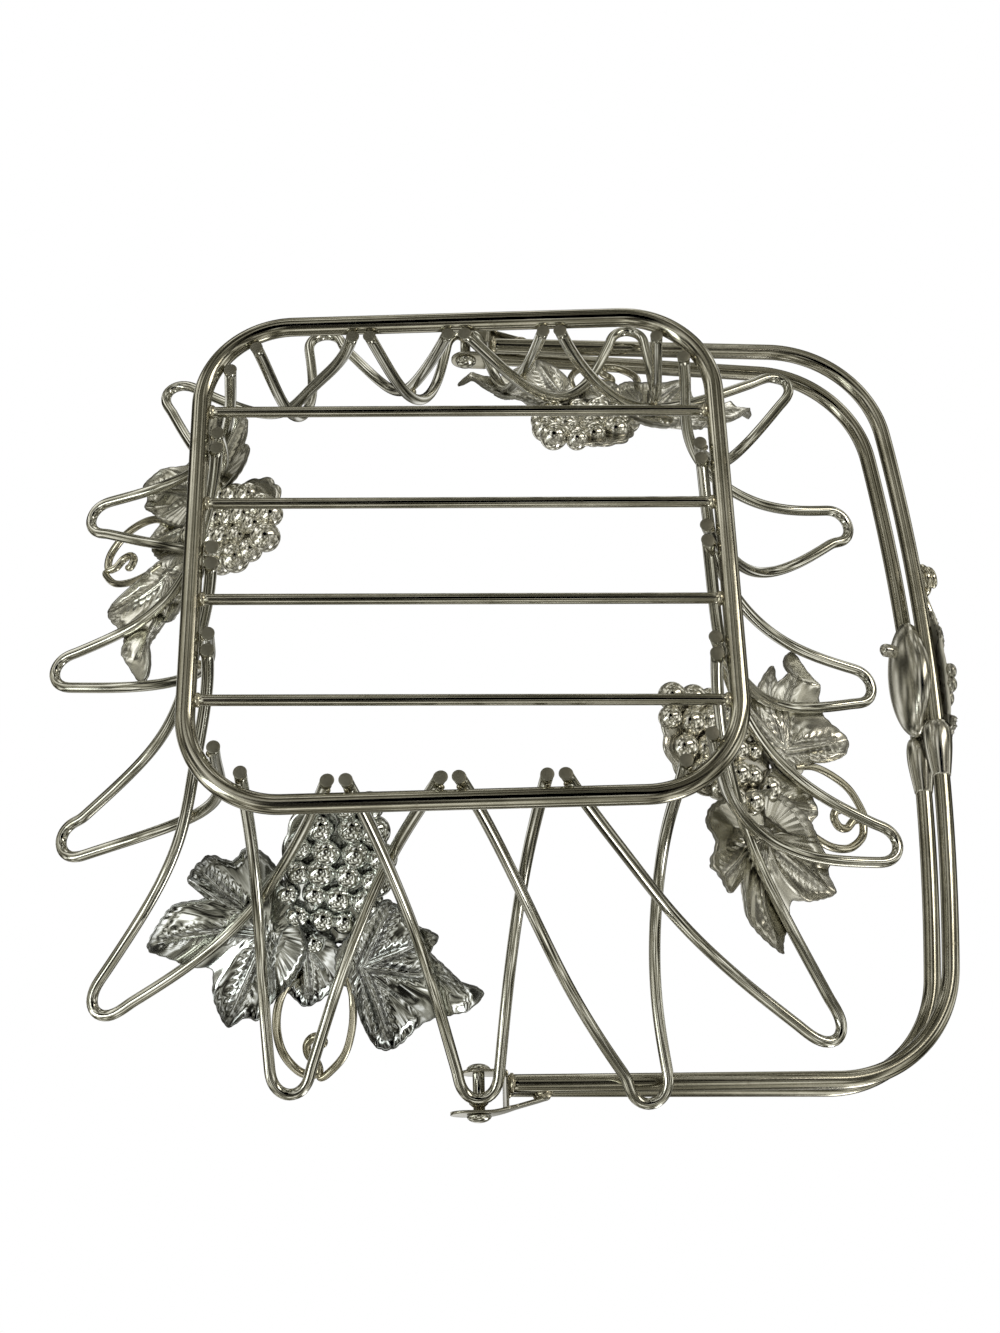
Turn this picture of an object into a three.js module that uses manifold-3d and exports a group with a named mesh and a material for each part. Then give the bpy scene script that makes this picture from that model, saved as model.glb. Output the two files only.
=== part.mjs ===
// Grape basket: a square wire basket with a swinging double handle and cast vine ornaments.
// Millimetres, +Z up, the base ring rests on z = 0 and the handle lies folded towards +X.
import * as THREE from 'three';
import { mergeVertices } from 'three/addons/utils/BufferGeometryUtils.js';
import Module from 'manifold-3d';

// Wire stock
const ringDiameter = 6.35;
const loopWireDiameter = 4;
const barDiameter = 3.6;
const handleRodDiameter = 6.35;
const ringSides = 12;
const roundSides = 16;
const rodSides = 8;
const wireSides = 6;

// Clearances
const touchGap = 0.3;
const pinClearance = 0.4;

// Base
const baseWidth = 170;
const baseCornerRadius = 30;
const barPitch = 34.3;
const barCount = 4;
const barsAside = 1.4;
const barSkew = 1.6;

// Wall of bent wire loops
const stationCount = 16;
const legSteps = 10;
const tipSteps = 8;
const footPitch = 34;
const footSpread = 2.8;
const cornerFootSpread = 6;
const footHeight = 0.4;
const rimReach = 154;
const rimCornerReach = 182.6;
const rimHeight = 114;
const rimTwist = 2;
const tipPitch = 63.5;
const tipHalfWidth = 7;
const tipLength = 8;
const wallBellyReach = 18;
const wallBellyHeight = 104;
const wallShoulderReach = 50;
const wallShoulderHeight = 103;
const sidewaysByHeight = 0.85;
const pivotStations = [2, 10];

// Where hand bending left single tips: how far out and how far aside of their regular places.
const tipBends = {
  0: [-1, -2],
  1: [1, 4],
  2: [2, 0],
  3: [3, 0],
  4: [4, -3],
  5: [2, -1],
  6: [-3, -3],
  7: [-7, 1],
  8: [0, 5],
  9: [3, 2],
  10: [2, 0],
  11: [1, -1],
  12: [-3, -2],
  13: [-2, -4],
  14: [5, -2],
  15: [-5, 1],
};

// How far hand soldering left the feet of a station aside of their regular place.
const footShifts = { 1: -4, 2: -4, 3: -6, 5: -4, 6: 1, 7: -3, 9: 2, 11: -2, 13: -6, 14: 2, 15: -2 };

// How far the -1 leg and the 1 leg bow sideways, by the loop's place on its side.
const legBows = { '-1': [-3, 2], 0: [-4, 0.5], 1: [-12, -5], 2: [-3.5, 6] };

// Handle brackets and pivot pins
const pinDiameter = 4.2;
const pinHeadDiameter = 8.6;
const pinHeadHeight = 2.2;
const bracketSetback = 3;
const bracketSheet = 1.2;
const bracketInside = 12.7;
const bracketHeight = 12;
const bracketLength = 10;
const bracketOverhang = 4;
const bracketTailLength = 14;

// Handle
const bowOverhang = 24;
const armSetback = 2.5;
const handleCornerRadius = 45;
const handleBowRadius = 910;
const rodSpacingAtBracket = 8.5;
const rodSpacingAtBow = 20;

// Wall ornaments, placed by their distance along the side and down the wall's slope from the rim
const bunchAlong = -49;
const bunchBelowRim = 71;
const bunchStandoff = 3;
const cornerLeafAlong = -98;
const cornerLeafBelowRim = 44;
const cornerLeafHeading = 172;
const middleLeafAlong = -22;
const middleLeafBelowRim = 35;
const middleLeafHeading = 17;
const curlAlong = -59;
const curlBelowRim = 20;
const curlRadius = 9;
const curlRise = 4.2;
const curlTurn = 486;
const curlShrink = 0.6;
const stemDiameter = 2.6;
const stemSides = 5;

// Vine leaves and grapes
const leafThickness = 1.4;
const leafRadius = 27;
const leafCrown = 5;
const leafLobes = 5;
const leafLobeDepth = 0.34;
const leafNotchDepth = 0.5;
const leafNotchAngle = 0.3;
const grapeRadius = 5.2;
const grapeFacetReach = 1.08;
const grapeSpacing = 9.3;
const rowPitchShare = 0.74;
const grapeRows = [1, 3, 4, 4, 3, 2, 1];

// Handle ornament, placed along the handle's bow
const crestShellAlong = -6;
const crestShellHalfLength = 24;
const crestShellHalfDepth = 7.5;
const crestShellHalfHeight = 15;
const crestKnobRadius = 3.2;
const crestKnobAlong = -12;
const crestBunchAlong = -2;
const crestLeafRadius = 19;
const crestLeafPitch = 44;
const crestGrapeRadius = 4.2;
const crestGrapeSpacing = 7.1;
const crestGrapeRows = [1, 2, 3, 2, 1];
const crestCurlAlong = -49;
const crestCurlRadius = 6;
const crestCurlRise = 6.5;
const crestStemRun = 13;

const silver = { color: 0x8b8878, metalness: 1, roughness: 0.22 };
const darkSilver = { color: 0x6e6b5d, metalness: 1, roughness: 0.3 };
const brightSilver = { color: 0xb9bab6, metalness: 1, roughness: 0.15 };
const warmSilver = { color: 0xa1977c, metalness: 1, roughness: 0.25 };

const wasm = await Module();
wasm.setup();

const basket = new THREE.Group();
basket.name = 'grape_basket';

// Reach of a regular polygon's corners whose area equals the round section's.
function sectionReach(diameter, sides) {
  const step = (2 * Math.PI) / sides;
  return (diameter / 2) * Math.sqrt(step / Math.sin(step));
}

const ringReach = sectionReach(ringDiameter, ringSides);
const wireReach = sectionReach(loopWireDiameter, wireSides);
const rodReach = sectionReach(handleRodDiameter, rodSides);
const ringHeight = ringReach * Math.cos(Math.PI / ringSides);
const wallLean = wallBellyReach / wallBellyHeight;
const footClearance = ringReach + wireReach + touchGap;
const footInset = footClearance * Math.hypot(1, wallLean) + wallLean * (ringHeight - footHeight);
const footHalf = baseWidth / 2 - footInset;
const footCornerRadius = baseCornerRadius - footInset;
const wallSpan = rimReach - footHalf;
const rimCornerRadius = (rimReach * Math.SQRT2 - rimCornerReach) / (Math.SQRT2 - 1);
const crossingGap = 2 * wireReach + touchGap;

const pivotReach = rimReach + tipBends[pivotStations[0]][0];
const pivotHeight = rimHeight + wireReach + pinDiameter / 2 + touchGap;
const bracketMiddle = pivotReach - bracketSetback;
const handleHalfWidth = bracketMiddle - armSetback;
const handleReach = rimReach + bowOverhang;

function geometryFrom(positions, triangles) {
  const geometry = new THREE.BufferGeometry();
  geometry.setAttribute('position', new THREE.Float32BufferAttribute(positions, 3));
  geometry.setIndex(triangles);
  geometry.computeVertexNormals();
  return geometry;
}

// A round rod swept along points, its section carried without twist from a start normal. Upright
// ends are cut level.
function rodAlong(points, diameter, sides, options = {}) {
  const { closed = false, uprightEnds = false, startNormal = new THREE.Vector3(0, 0, 1) } = options;
  const reach = sectionReach(diameter, sides);
  const count = points.length;
  const positions = [];
  const triangles = [];
  const tangentAt = (i) => {
    if (uprightEnds && (i === 0 || i === count - 1)) {
      return new THREE.Vector3(0, 0, i === 0 ? 1 : -1);
    }
    const before = points[closed ? (i - 1 + count) % count : Math.max(i - 1, 0)];
    const after = points[closed ? (i + 1) % count : Math.min(i + 1, count - 1)];
    return after.clone().sub(before).normalize();
  };
  let normal = startNormal.clone();
  for (let i = 0; i < count; i += 1) {
    const tangent = tangentAt(i);
    normal.sub(tangent.clone().multiplyScalar(normal.dot(tangent))).normalize();
    const side = tangent.clone().cross(normal);
    for (let j = 0; j < sides; j += 1) {
      const angle = ((j + 0.5) / sides) * 2 * Math.PI;
      const corner = points[i].clone();
      corner.addScaledVector(normal, reach * Math.cos(angle));
      corner.addScaledVector(side, reach * Math.sin(angle));
      positions.push(corner.x, corner.y, corner.z);
    }
  }
  const spans = closed ? count : count - 1;
  for (let i = 0; i < spans; i += 1) {
    const next = (i + 1) % count;
    for (let j = 0; j < sides; j += 1) {
      const k = (j + 1) % sides;
      triangles.push(i * sides + j, next * sides + k, next * sides + j);
      triangles.push(i * sides + j, i * sides + k, next * sides + k);
    }
  }
  if (!closed) {
    const last = (count - 1) * sides;
    for (let j = 1; j < sides - 1; j += 1) {
      triangles.push(0, j + 1, j);
      triangles.push(last, last + j, last + j + 1);
    }
  }
  return geometryFrom(positions, triangles);
}

function solidFrom(geometry, matrix = new THREE.Matrix4()) {
  const bare = geometry.clone().applyMatrix4(matrix);
  bare.deleteAttribute('normal');
  bare.deleteAttribute('uv');
  const merged = mergeVertices(bare, 1e-4);
  const mesh = new wasm.Mesh({
    numProp: 3,
    vertProperties: new Float32Array(merged.attributes.position.array),
    triVerts: new Uint32Array(merged.index.array),
  });
  return new wasm.Manifold(mesh);
}

function geometryFromSolid(solid) {
  const mesh = solid.getMesh();
  return geometryFrom(Array.from(mesh.vertProperties), Array.from(mesh.triVerts));
}

function addPiece(parent, name, geometry, look) {
  const mesh = new THREE.Mesh(geometry, new THREE.MeshStandardMaterial(look));
  mesh.name = name;
  parent.add(mesh);
  return mesh;
}

// A place on a square with round corners, its middle at the origin, at a distance along one side
// from the side's middle; past the side's end the place runs round the corner arc.
function roundedSquarePlace(half, cornerRadius, side, along) {
  const straight = half - cornerRadius;
  const over = Math.max(Math.abs(along) - straight, 0);
  const angle = (Math.sign(along) * over) / cornerRadius;
  const lateral = over > 0 ? Math.sign(along) * straight + cornerRadius * Math.sin(angle) : along;
  const up = new THREE.Vector3(0, 0, 1);
  const turn = (-side * Math.PI) / 2;
  const point = new THREE.Vector3(lateral, straight + cornerRadius * Math.cos(angle), 0);
  const facing = new THREE.Vector3(Math.sin(angle), Math.cos(angle), 0);
  return { point: point.applyAxisAngle(up, turn), facing: facing.applyAxisAngle(up, turn) };
}

function baseRing() {
  const half = baseWidth / 2;
  const straight = half - baseCornerRadius;
  const cornerSteps = 7;
  const points = [];
  for (let side = 0; side < 4; side += 1) {
    points.push(roundedSquarePlace(half, baseCornerRadius, side, -straight).point);
    for (let i = 0; i < cornerSteps; i += 1) {
      const along = straight + (baseCornerRadius * (i / cornerSteps) * Math.PI) / 2;
      points.push(roundedSquarePlace(half, baseCornerRadius, side, along).point);
    }
  }
  points.forEach((point) => point.setZ(ringHeight));
  addPiece(basket, 'base_ring', rodAlong(points, ringDiameter, ringSides, { closed: true }), darkSilver);
}

function crossBars() {
  const halfLength = baseWidth / 2 - ringReach - touchGap;
  const lean = halfLength * Math.tan(THREE.MathUtils.degToRad(barSkew));
  for (let i = 0; i < barCount; i += 1) {
    const y = (i - (barCount - 1) / 2) * barPitch + barsAside;
    const start = new THREE.Vector3(-halfLength, y - lean, ringHeight);
    const end = new THREE.Vector3(halfLength, y + lean, ringHeight);
    addPiece(basket, `cross_bar_${i + 1}`, rodAlong([start, end], barDiameter, rodSides), darkSilver);
  }
}

// The wall's bell curve: how far out (0 to 1 between foot and rim) and how high it is.
function wallCurve(t) {
  const foot = (1 - t) ** 3;
  const belly = 3 * (1 - t) * (1 - t) * t;
  const shoulder = 3 * (1 - t) * t * t;
  const rim = t ** 3;
  const out = (belly * wallBellyReach + shoulder * wallShoulderReach) / wallSpan + rim;
  const inside = belly * wallBellyHeight + shoulder * wallShoulderHeight;
  const height = foot * footHeight + inside + rim * rimHeight;
  return { out, height };
}

// The 16 stations round the base: station 0 is the corner before side 0, then three on each side.
// place is -1, 0 or 1 along a side, and 2 at the corner after it.
function stationPlace(station) {
  const turned = station + stationCount - 1;
  return { side: Math.floor(turned / 4) % 4, place: (turned % 4) - 1 };
}

// Where a wire foot stands inside the base ring. Two feet share a station, in slots -1 and 1.
function footPoint(station, slot) {
  const { side, place } = stationPlace(station);
  if (place === 2) {
    const cornerMiddle = footHalf - footCornerRadius + (footCornerRadius * Math.PI) / 4;
    const round = cornerMiddle + slot * cornerFootSpread;
    return roundedSquarePlace(footHalf, footCornerRadius, side, round).point;
  }
  const along = place * footPitch + slot * footSpread + (footShifts[station] ?? 0);
  return roundedSquarePlace(footHalf, footCornerRadius, side, along).point;
}

// A loop's own directions: outward, sideways, and where its tip is.
function loopFrame(station) {
  const { side, place } = stationPlace(station);
  const corner = place === 2;
  const twist = THREE.MathUtils.degToRad(rimTwist);
  const turn = (-side * Math.PI) / 2 - (corner ? Math.PI / 4 : 0) + twist;
  const up = new THREE.Vector3(0, 0, 1);
  const [bendOut, bendAside] = tipBends[station];
  const reach = (corner ? rimCornerReach : rimReach) + bendOut;
  const straightened = pivotStations.includes(station) ? reach * Math.tan(twist) : 0;
  return {
    station,
    place,
    reach,
    outward: new THREE.Vector3(0, 1, 0).applyAxisAngle(up, turn),
    sideways: new THREE.Vector3(1, 0, 0).applyAxisAngle(up, turn),
    centre: (corner ? 0 : place * tipPitch) + bendAside + straightened,
  };
}

// The share of the wall curve taken by the round tip.
const tipSpeed = 3 * Math.hypot(wallSpan - wallShoulderReach, rimHeight - wallShoulderHeight);
const tipShare = tipLength / tipSpeed;

function wallSlope(t) {
  const step = 1e-3;
  const before = wallCurve(t - step);
  const after = wallCurve(t + step);
  return Math.atan2(after.height - before.height, (after.out - before.out) * wallSpan);
}

// How far a leg has moved sideways from its foot (0) to the start of the tip (1).
function sidewaysShare(t) {
  const byReach = 1 - sidewaysByHeight;
  const share = ({ out, height }) => byReach * out + (sidewaysByHeight * height) / rimHeight;
  const atFoot = share(wallCurve(0));
  return (share(wallCurve(t)) - atFoot) / (share(wallCurve(1 - tipShare)) - atFoot);
}

// One leg from its foot (t = 0) to the start of the tip. hand is -1 or 1, and bulge pushes the
// leg out of the wall (or into the basket, below 0) around the place where it crosses another.
function legPoint(frame, hand, bulge, t) {
  const foot = footPoint((frame.station + hand + stationCount) % stationCount, -hand);
  const { out, height } = wallCurve(t);
  const slope = wallSlope(t);
  const push = bulge * Math.sin((Math.PI * height) / rimHeight) ** 2;
  const bow = legBows[frame.place][hand < 0 ? 0 : 1] * Math.sin((Math.PI * t) / (1 - tipShare));
  const footSide = foot.dot(frame.sideways);
  const footOut = foot.dot(frame.outward);
  const tipSide = frame.centre + hand * tipHalfWidth;
  return new THREE.Vector3()
    .addScaledVector(frame.sideways, footSide + (tipSide - footSide) * sidewaysShare(t) + bow)
    .addScaledVector(frame.outward, footOut + (frame.reach - footOut) * out + push * Math.sin(slope))
    .setZ(height - push * Math.cos(slope));
}

// The round tip, from the -1 leg (angle 0) to the other (angle PI).
function tipPoint(frame, angle) {
  const middle = legPoint(frame, -1, 0, 1 - tipShare + tipShare * Math.sin(angle));
  const lateral = frame.centre - tipHalfWidth * Math.cos(angle);
  return middle.addScaledVector(frame.sideways, lateral - middle.dot(frame.sideways));
}

// Two legs' nearest places, found on a coarse grid and then by halving steps.
function nearestApproach(legA, legB) {
  let best = { distance: Infinity, a: 0, b: 0 };
  const tryAt = (a, b) => {
    const distance = legA(a).distanceTo(legB(b));
    if (distance < best.distance) {
      best = { distance, a, b };
    }
  };
  for (let i = 1; i < 20; i += 1) {
    for (let j = 1; j < 20; j += 1) {
      tryAt(i / 20, j / 20);
    }
  }
  for (let step = 0.025; step > 1e-4; step /= 2) {
    const { a, b } = best;
    [[step, 0], [-step, 0], [0, step], [0, -step], [step, step], [-step, -step], [step, -step], [-step, step]]
      .forEach(([da, db]) => tryAt(a + da, b + db));
  }
  return best;
}

// Each loop's -1 leg passes outside the leg that it crosses. Both give way by the same amount, until
// the wires clear each other by the touching gap.
function settledBulges() {
  const bulges = loopFrames.map(() => ({ '-1': 0, 1: 0 }));
  loopFrames.forEach((outer, station) => {
    const innerStation = (station + stationCount - 1) % stationCount;
    const inner = loopFrames[innerStation];
    let bulge = crossingGap / 2;
    for (let round = 0; round < 8; round += 1) {
      const outerLeg = (t) => legPoint(outer, -1, bulge, t);
      const innerLeg = (t) => legPoint(inner, 1, -bulge, t);
      const { distance, a, b } = nearestApproach(outerLeg, innerLeg);
      const apart = outerLeg(a).sub(innerLeg(b));
      const facing = apart.dot(outer.outward) + apart.dot(inner.outward) - apart.z;
      bulge += (crossingGap - Math.sign(facing) * distance) / 2;
    }
    bulges[station][-1] = bulge;
    bulges[innerStation][1] = -bulge;
  });
  return bulges;
}

// A loop's centre line from foot to foot, each point with its place t on the wall curve.
function loopPath(frame, bulges) {
  const path = [];
  const legs = Array.from({ length: legSteps }, (_, i) => ((1 - tipShare) * i) / legSteps);
  legs.forEach((t) => path.push({ t, point: legPoint(frame, -1, bulges[-1], t) }));
  for (let i = 0; i <= tipSteps; i += 1) {
    const angle = (Math.PI * i) / tipSteps;
    path.push({ t: 1 - tipShare + tipShare * Math.sin(angle), point: tipPoint(frame, angle) });
  }
  legs.reverse().forEach((t) => path.push({ t, point: legPoint(frame, 1, bulges[1], t) }));
  return path;
}

const loopFrames = Array.from({ length: stationCount }, (_, station) => loopFrame(station));
const loopBulges = settledBulges();
const loopPaths = loopFrames.map((frame, station) => loopPath(frame, loopBulges[station]));

function wireLoops() {
  loopFrames.forEach((frame, station) => {
    const name = `wire_loop_${String(station + 1).padStart(2, '0')}`;
    const points = loopPaths[station].map(({ point }) => point);
    const options = { uprightEnds: true, startNormal: frame.outward };
    const loop = rodAlong(points, loopWireDiameter, wireSides, options);
    addPiece(basket, name, loop, silver);
  });
}

// The climb up the wall's slope from the foot, at even steps of the wall curve to just past the rim.
const climbStep = 0.005;
const climbTable = [0];
for (let t = 0; t < 1.1; t += climbStep) {
  const here = wallCurve(t);
  const next = wallCurve(t + climbStep);
  const length = Math.hypot((next.out - here.out) * wallSpan, next.height - here.height);
  climbTable.push(climbTable[climbTable.length - 1] + length);
}

function climbedTo(climb) {
  const after = Math.max(climbTable.findIndex((reached) => reached > climb), 1);
  const before = after - 1;
  const share = (climb - climbTable[before]) / (climbTable[after] - climbTable[before]);
  return (before + share) * climbStep;
}

// The wall's rounded square at a place on its curve.
function wallSquare(t) {
  const { out } = wallCurve(t);
  const half = footHalf + wallSpan * out;
  const cornerRadius = footCornerRadius + (rimCornerRadius - footCornerRadius) * out;
  return { half, cornerRadius };
}

const rimClimb = climbTable[Math.round(1 / climbStep)];

// A point inside the wall: at a distance along one side, a climb up the slope and a lift off it.
function insideWall(side, along, climb, lift) {
  const t = climbedTo(climb);
  const slope = wallSlope(t);
  const { half, cornerRadius } = wallSquare(t);
  const { point, facing } = roundedSquarePlace(half, cornerRadius, side, along);
  const height = wallCurve(t).height + lift * Math.cos(slope);
  return point.addScaledVector(facing, -lift * Math.sin(slope)).setZ(height);
}

// A wire point's distance along one side and its lift off the wall, the reverse of the above.
function wireOnWall(side, point, t) {
  const { half, cornerRadius } = wallSquare(t);
  const straight = half - cornerRadius;
  const local = point.clone().applyAxisAngle(new THREE.Vector3(0, 0, 1), (side * Math.PI) / 2);
  const over = Math.max(Math.abs(local.x) - straight, 0);
  const angle = Math.atan2(over, local.y - straight);
  const along = over > 0 ? Math.sign(local.x) * (straight + cornerRadius * angle) : local.x;
  const outside = Math.hypot(over, local.y - straight) - cornerRadius;
  return { along, lift: -outside * Math.sin(wallSlope(t)) };
}

// How far off the wall a casting lies, so that it clears every wire under its footprint.
function seatLift(side, along, climb, halfAcross, halfUp) {
  const pieces = 4;
  const fromT = climbedTo(Math.max(climb - halfUp, 0));
  const toT = climbedTo(climb + halfUp);
  const up = new THREE.Vector3(0, 0, 1);
  const facing = new THREE.Vector3(0, 1, 0).applyAxisAngle(up, (-side * Math.PI) / 2);
  let highest = -Infinity;
  loopPaths.forEach((path) => {
    for (let i = 0; i + 1 < path.length; i += 1) {
      for (let j = 0; j < pieces; j += 1) {
        const t = THREE.MathUtils.lerp(path[i].t, path[i + 1].t, j / pieces);
        const point = path[i].point.clone().lerp(path[i + 1].point, j / pieces);
        const wire = wireOnWall(side, point, t);
        const under = t > fromT && t < toT && Math.abs(wire.along - along) < halfAcross;
        if (under && point.dot(facing) > 0) {
          highest = Math.max(highest, wire.lift);
        }
      }
    }
  });
  return highest + wireReach + touchGap;
}

// A flat seat inside the wall, resting on the wires under its footprint: u runs along the side, v up
// the slope, and the third direction off the wall.
function flatSeat(side, along, climb, halfAcross, halfUp) {
  const turn = (-side * Math.PI) / 2;
  const up = new THREE.Vector3(0, 0, 1);
  const across = new THREE.Vector3(1, 0, 0).applyAxisAngle(up, turn);
  const outward = new THREE.Vector3(0, 1, 0).applyAxisAngle(up, turn);
  const slope = wallSlope(climbedTo(climb));
  const upward = outward.clone().multiplyScalar(Math.cos(slope)).setZ(Math.sin(slope));
  const off = across.clone().cross(upward);
  const seat = new THREE.Matrix4().makeBasis(across, upward, off);
  seat.setPosition(insideWall(side, along, climb, 0));
  const toSeat = seat.clone().invert();
  let highest = -Infinity;
  loopPaths.forEach((path) => {
    path.forEach(({ point }) => {
      const { x, y, z } = point.clone().applyMatrix4(toSeat);
      if (Math.abs(x) < halfAcross && Math.abs(y) < halfUp) {
        highest = Math.max(highest, z);
      }
    });
  });
  return seat.multiply(new THREE.Matrix4().makeTranslation(0, 0, highest + wireReach + touchGap));
}

// A vine leaf of pointed lobes: its outline radius at an angle from its main lobe.
function leafOutline(radius, angle) {
  const lobes = 1 - leafLobeDepth * (1 - Math.abs(Math.cos((leafLobes / 2) * angle)));
  const fromStem = Math.PI - Math.abs(angle);
  const stemNotch = 1 - leafNotchDepth * Math.exp(-((fromStem / leafNotchAngle) ** 2));
  return radius * lobes * stemNotch;
}

// A leaf as a closed shell: crowned in the middle, its rim lying at height 0 in its own frame. Its
// main lobe points along a heading in degrees.
function leafGeometry(radius, crown, heading) {
  const turn = THREE.MathUtils.degToRad(heading);
  const angles = 30;
  const rings = 3;
  const positions = [];
  const triangles = [];
  [0, leafThickness].forEach((base) => {
    positions.push(0, 0, base + crown);
    for (let ring = 1; ring <= rings; ring += 1) {
      for (let i = 0; i < angles; i += 1) {
        const angle = (i / angles) * 2 * Math.PI - Math.PI;
        const share = ring / rings;
        const reach = leafOutline(radius, angle) * share;
        const height = base + crown * (1 - share * share);
        positions.push(reach * Math.cos(angle + turn), reach * Math.sin(angle + turn), height);
      }
    }
  });
  const layer = 1 + rings * angles;
  const at = (ring, i) => 1 + (ring - 1) * angles + (i % angles);
  for (let i = 0; i < angles; i += 1) {
    triangles.push(0, at(1, i + 1), at(1, i));
    triangles.push(layer, layer + at(1, i), layer + at(1, i + 1));
    for (let ring = 1; ring < rings; ring += 1) {
      const [a, b, c, d] = [at(ring, i), at(ring, i + 1), at(ring + 1, i), at(ring + 1, i + 1)];
      triangles.push(a, b, d, a, d, c);
      triangles.push(layer + a, layer + d, layer + b, layer + a, layer + c, layer + d);
    }
    const [a, b] = [at(rings, i), at(rings, i + 1)];
    triangles.push(a, b, layer + b, a, layer + b, layer + a);
  }
  return geometryFrom(positions, triangles);
}

// A bunch of grapes in rows, from the stem down, fused into one solid. place turns a distance across
// and a distance along the bunch into a point.
function grapeBunch(rows, radius, spacing, place) {
  const grapes = [];
  rows.forEach((count, row) => {
    for (let i = 0; i < count; i += 1) {
      const across = (i - (count - 1) / 2) * spacing;
      const down = (row - (rows.length - 1) / 2) * spacing * rowPitchShare;
      const grape = new THREE.OctahedronGeometry(radius * grapeFacetReach, 1);
      const centre = place(across, -down);
      grapes.push(solidFrom(grape.translate(centre.x, centre.y, centre.z)));
    }
  });
  return grapes.reduce((bunch, grape) => bunch.add(grape));
}

// A tendril's curl seen from above, as (u, v, height): it turns in from the left, past the top.
function curlPoints(radius, rise) {
  const steps = 12;
  return Array.from({ length: steps + 1 }, (_, i) => {
    const share = i / steps;
    const angle = Math.PI - share * THREE.MathUtils.degToRad(curlTurn);
    const reach = radius * (1 - curlShrink * share);
    return new THREE.Vector3(reach * Math.cos(angle), reach * Math.sin(angle), share * rise);
  });
}

function cutLeaf(leafSolid, cutters) {
  const parts = cutters.reduce((leaf, cutter) => leaf.subtract(cutter), leafSolid).decompose();
  return geometryFromSolid(parts.reduce((a, b) => (b.volume() > a.volume() ? b : a)));
}

function wallLeaf(side, along, belowRim, heading) {
  const climb = rimClimb - belowRim;
  const lift = seatLift(side, along, climb, leafRadius, leafRadius);
  const leaf = leafGeometry(leafRadius, leafCrown, heading);
  const places = leaf.attributes.position;
  for (let i = 0; i < places.count; i += 1) {
    const point = insideWall(side, along + places.getX(i), climb + places.getY(i), lift + places.getZ(i));
    places.setXYZ(i, point.x, point.y, point.z);
  }
  return solidFrom(leaf);
}

// One cast ornament: a bunch of grapes, a leaf on each side and a curled tendril towards the rim.
function wallOrnament(side) {
  const tag = side + 1;
  const bunchClimb = rimClimb - bunchBelowRim;
  const halfBunch = (grapeRows.length * grapeSpacing * rowPitchShare) / 2;
  const halfAcross = ((Math.max(...grapeRows) + 1) * grapeSpacing) / 2;
  const bunchSeat = flatSeat(side, bunchAlong, bunchClimb, halfAcross, halfBunch);
  const bunchLift = grapeRadius * grapeFacetReach + bunchStandoff;
  const onSeat = (across, up) => new THREE.Vector3(across, up, bunchLift).applyMatrix4(bunchSeat);
  const bunch = grapeBunch(grapeRows, grapeRadius, grapeSpacing, onSeat);
  const bunchCutter = grapeBunch(grapeRows, grapeRadius + touchGap, grapeSpacing, onSeat);
  const curlClimb = rimClimb - curlBelowRim;
  const curlSpan = curlRadius + stemDiameter;
  const stemReach = sectionReach(stemDiameter, stemSides);
  const stemLift = seatLift(side, curlAlong, curlClimb, curlSpan, curlSpan) + stemReach;
  const stem = [new THREE.Vector3(curlAlong - curlRadius, bunchClimb + halfBunch, stemLift)];
  curlPoints(curlRadius, curlRise).forEach((point) => {
    stem.push(new THREE.Vector3(curlAlong + point.x, curlClimb + point.y, stemLift + point.z));
  });
  const stemCurve = new THREE.CatmullRomCurve3(stem.map((p) => insideWall(side, p.x, p.y, p.z)));
  const stemPath = stemCurve.getPoints(24);
  const stemCutter = solidFrom(rodAlong(stemPath, stemDiameter + 2 * touchGap, stemSides));
  const middleLeaf = wallLeaf(side, middleLeafAlong, middleLeafBelowRim, middleLeafHeading);
  const cornerLeaf = wallLeaf(side, cornerLeafAlong, cornerLeafBelowRim, cornerLeafHeading);
  addPiece(basket, `grape_bunch_${tag}`, geometryFromSolid(bunch), brightSilver);
  addPiece(basket, `leaf_middle_${tag}`, cutLeaf(middleLeaf, [bunchCutter, stemCutter]), brightSilver);
  addPiece(basket, `leaf_corner_${tag}`, cutLeaf(cornerLeaf, [bunchCutter, stemCutter]), brightSilver);
  addPiece(basket, `tendril_${tag}`, rodAlong(stemPath, stemDiameter, stemSides), warmSilver);
}

// Half the distance between the two rods' centre lines at a reach from the pivot axis.
function rodHalfSpacing(reach) {
  const share = (reach - bracketLength) / (handleReach - bracketLength);
  return (rodSpacingAtBracket + (rodSpacingAtBow - rodSpacingAtBracket) * share) / 2;
}

// The reach of the handle's bow, a flat arc, at a distance along the pivot axis's direction.
function bowReachAt(along) {
  return handleReach - handleBowRadius + Math.sqrt(handleBowRadius ** 2 - along ** 2);
}

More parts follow.
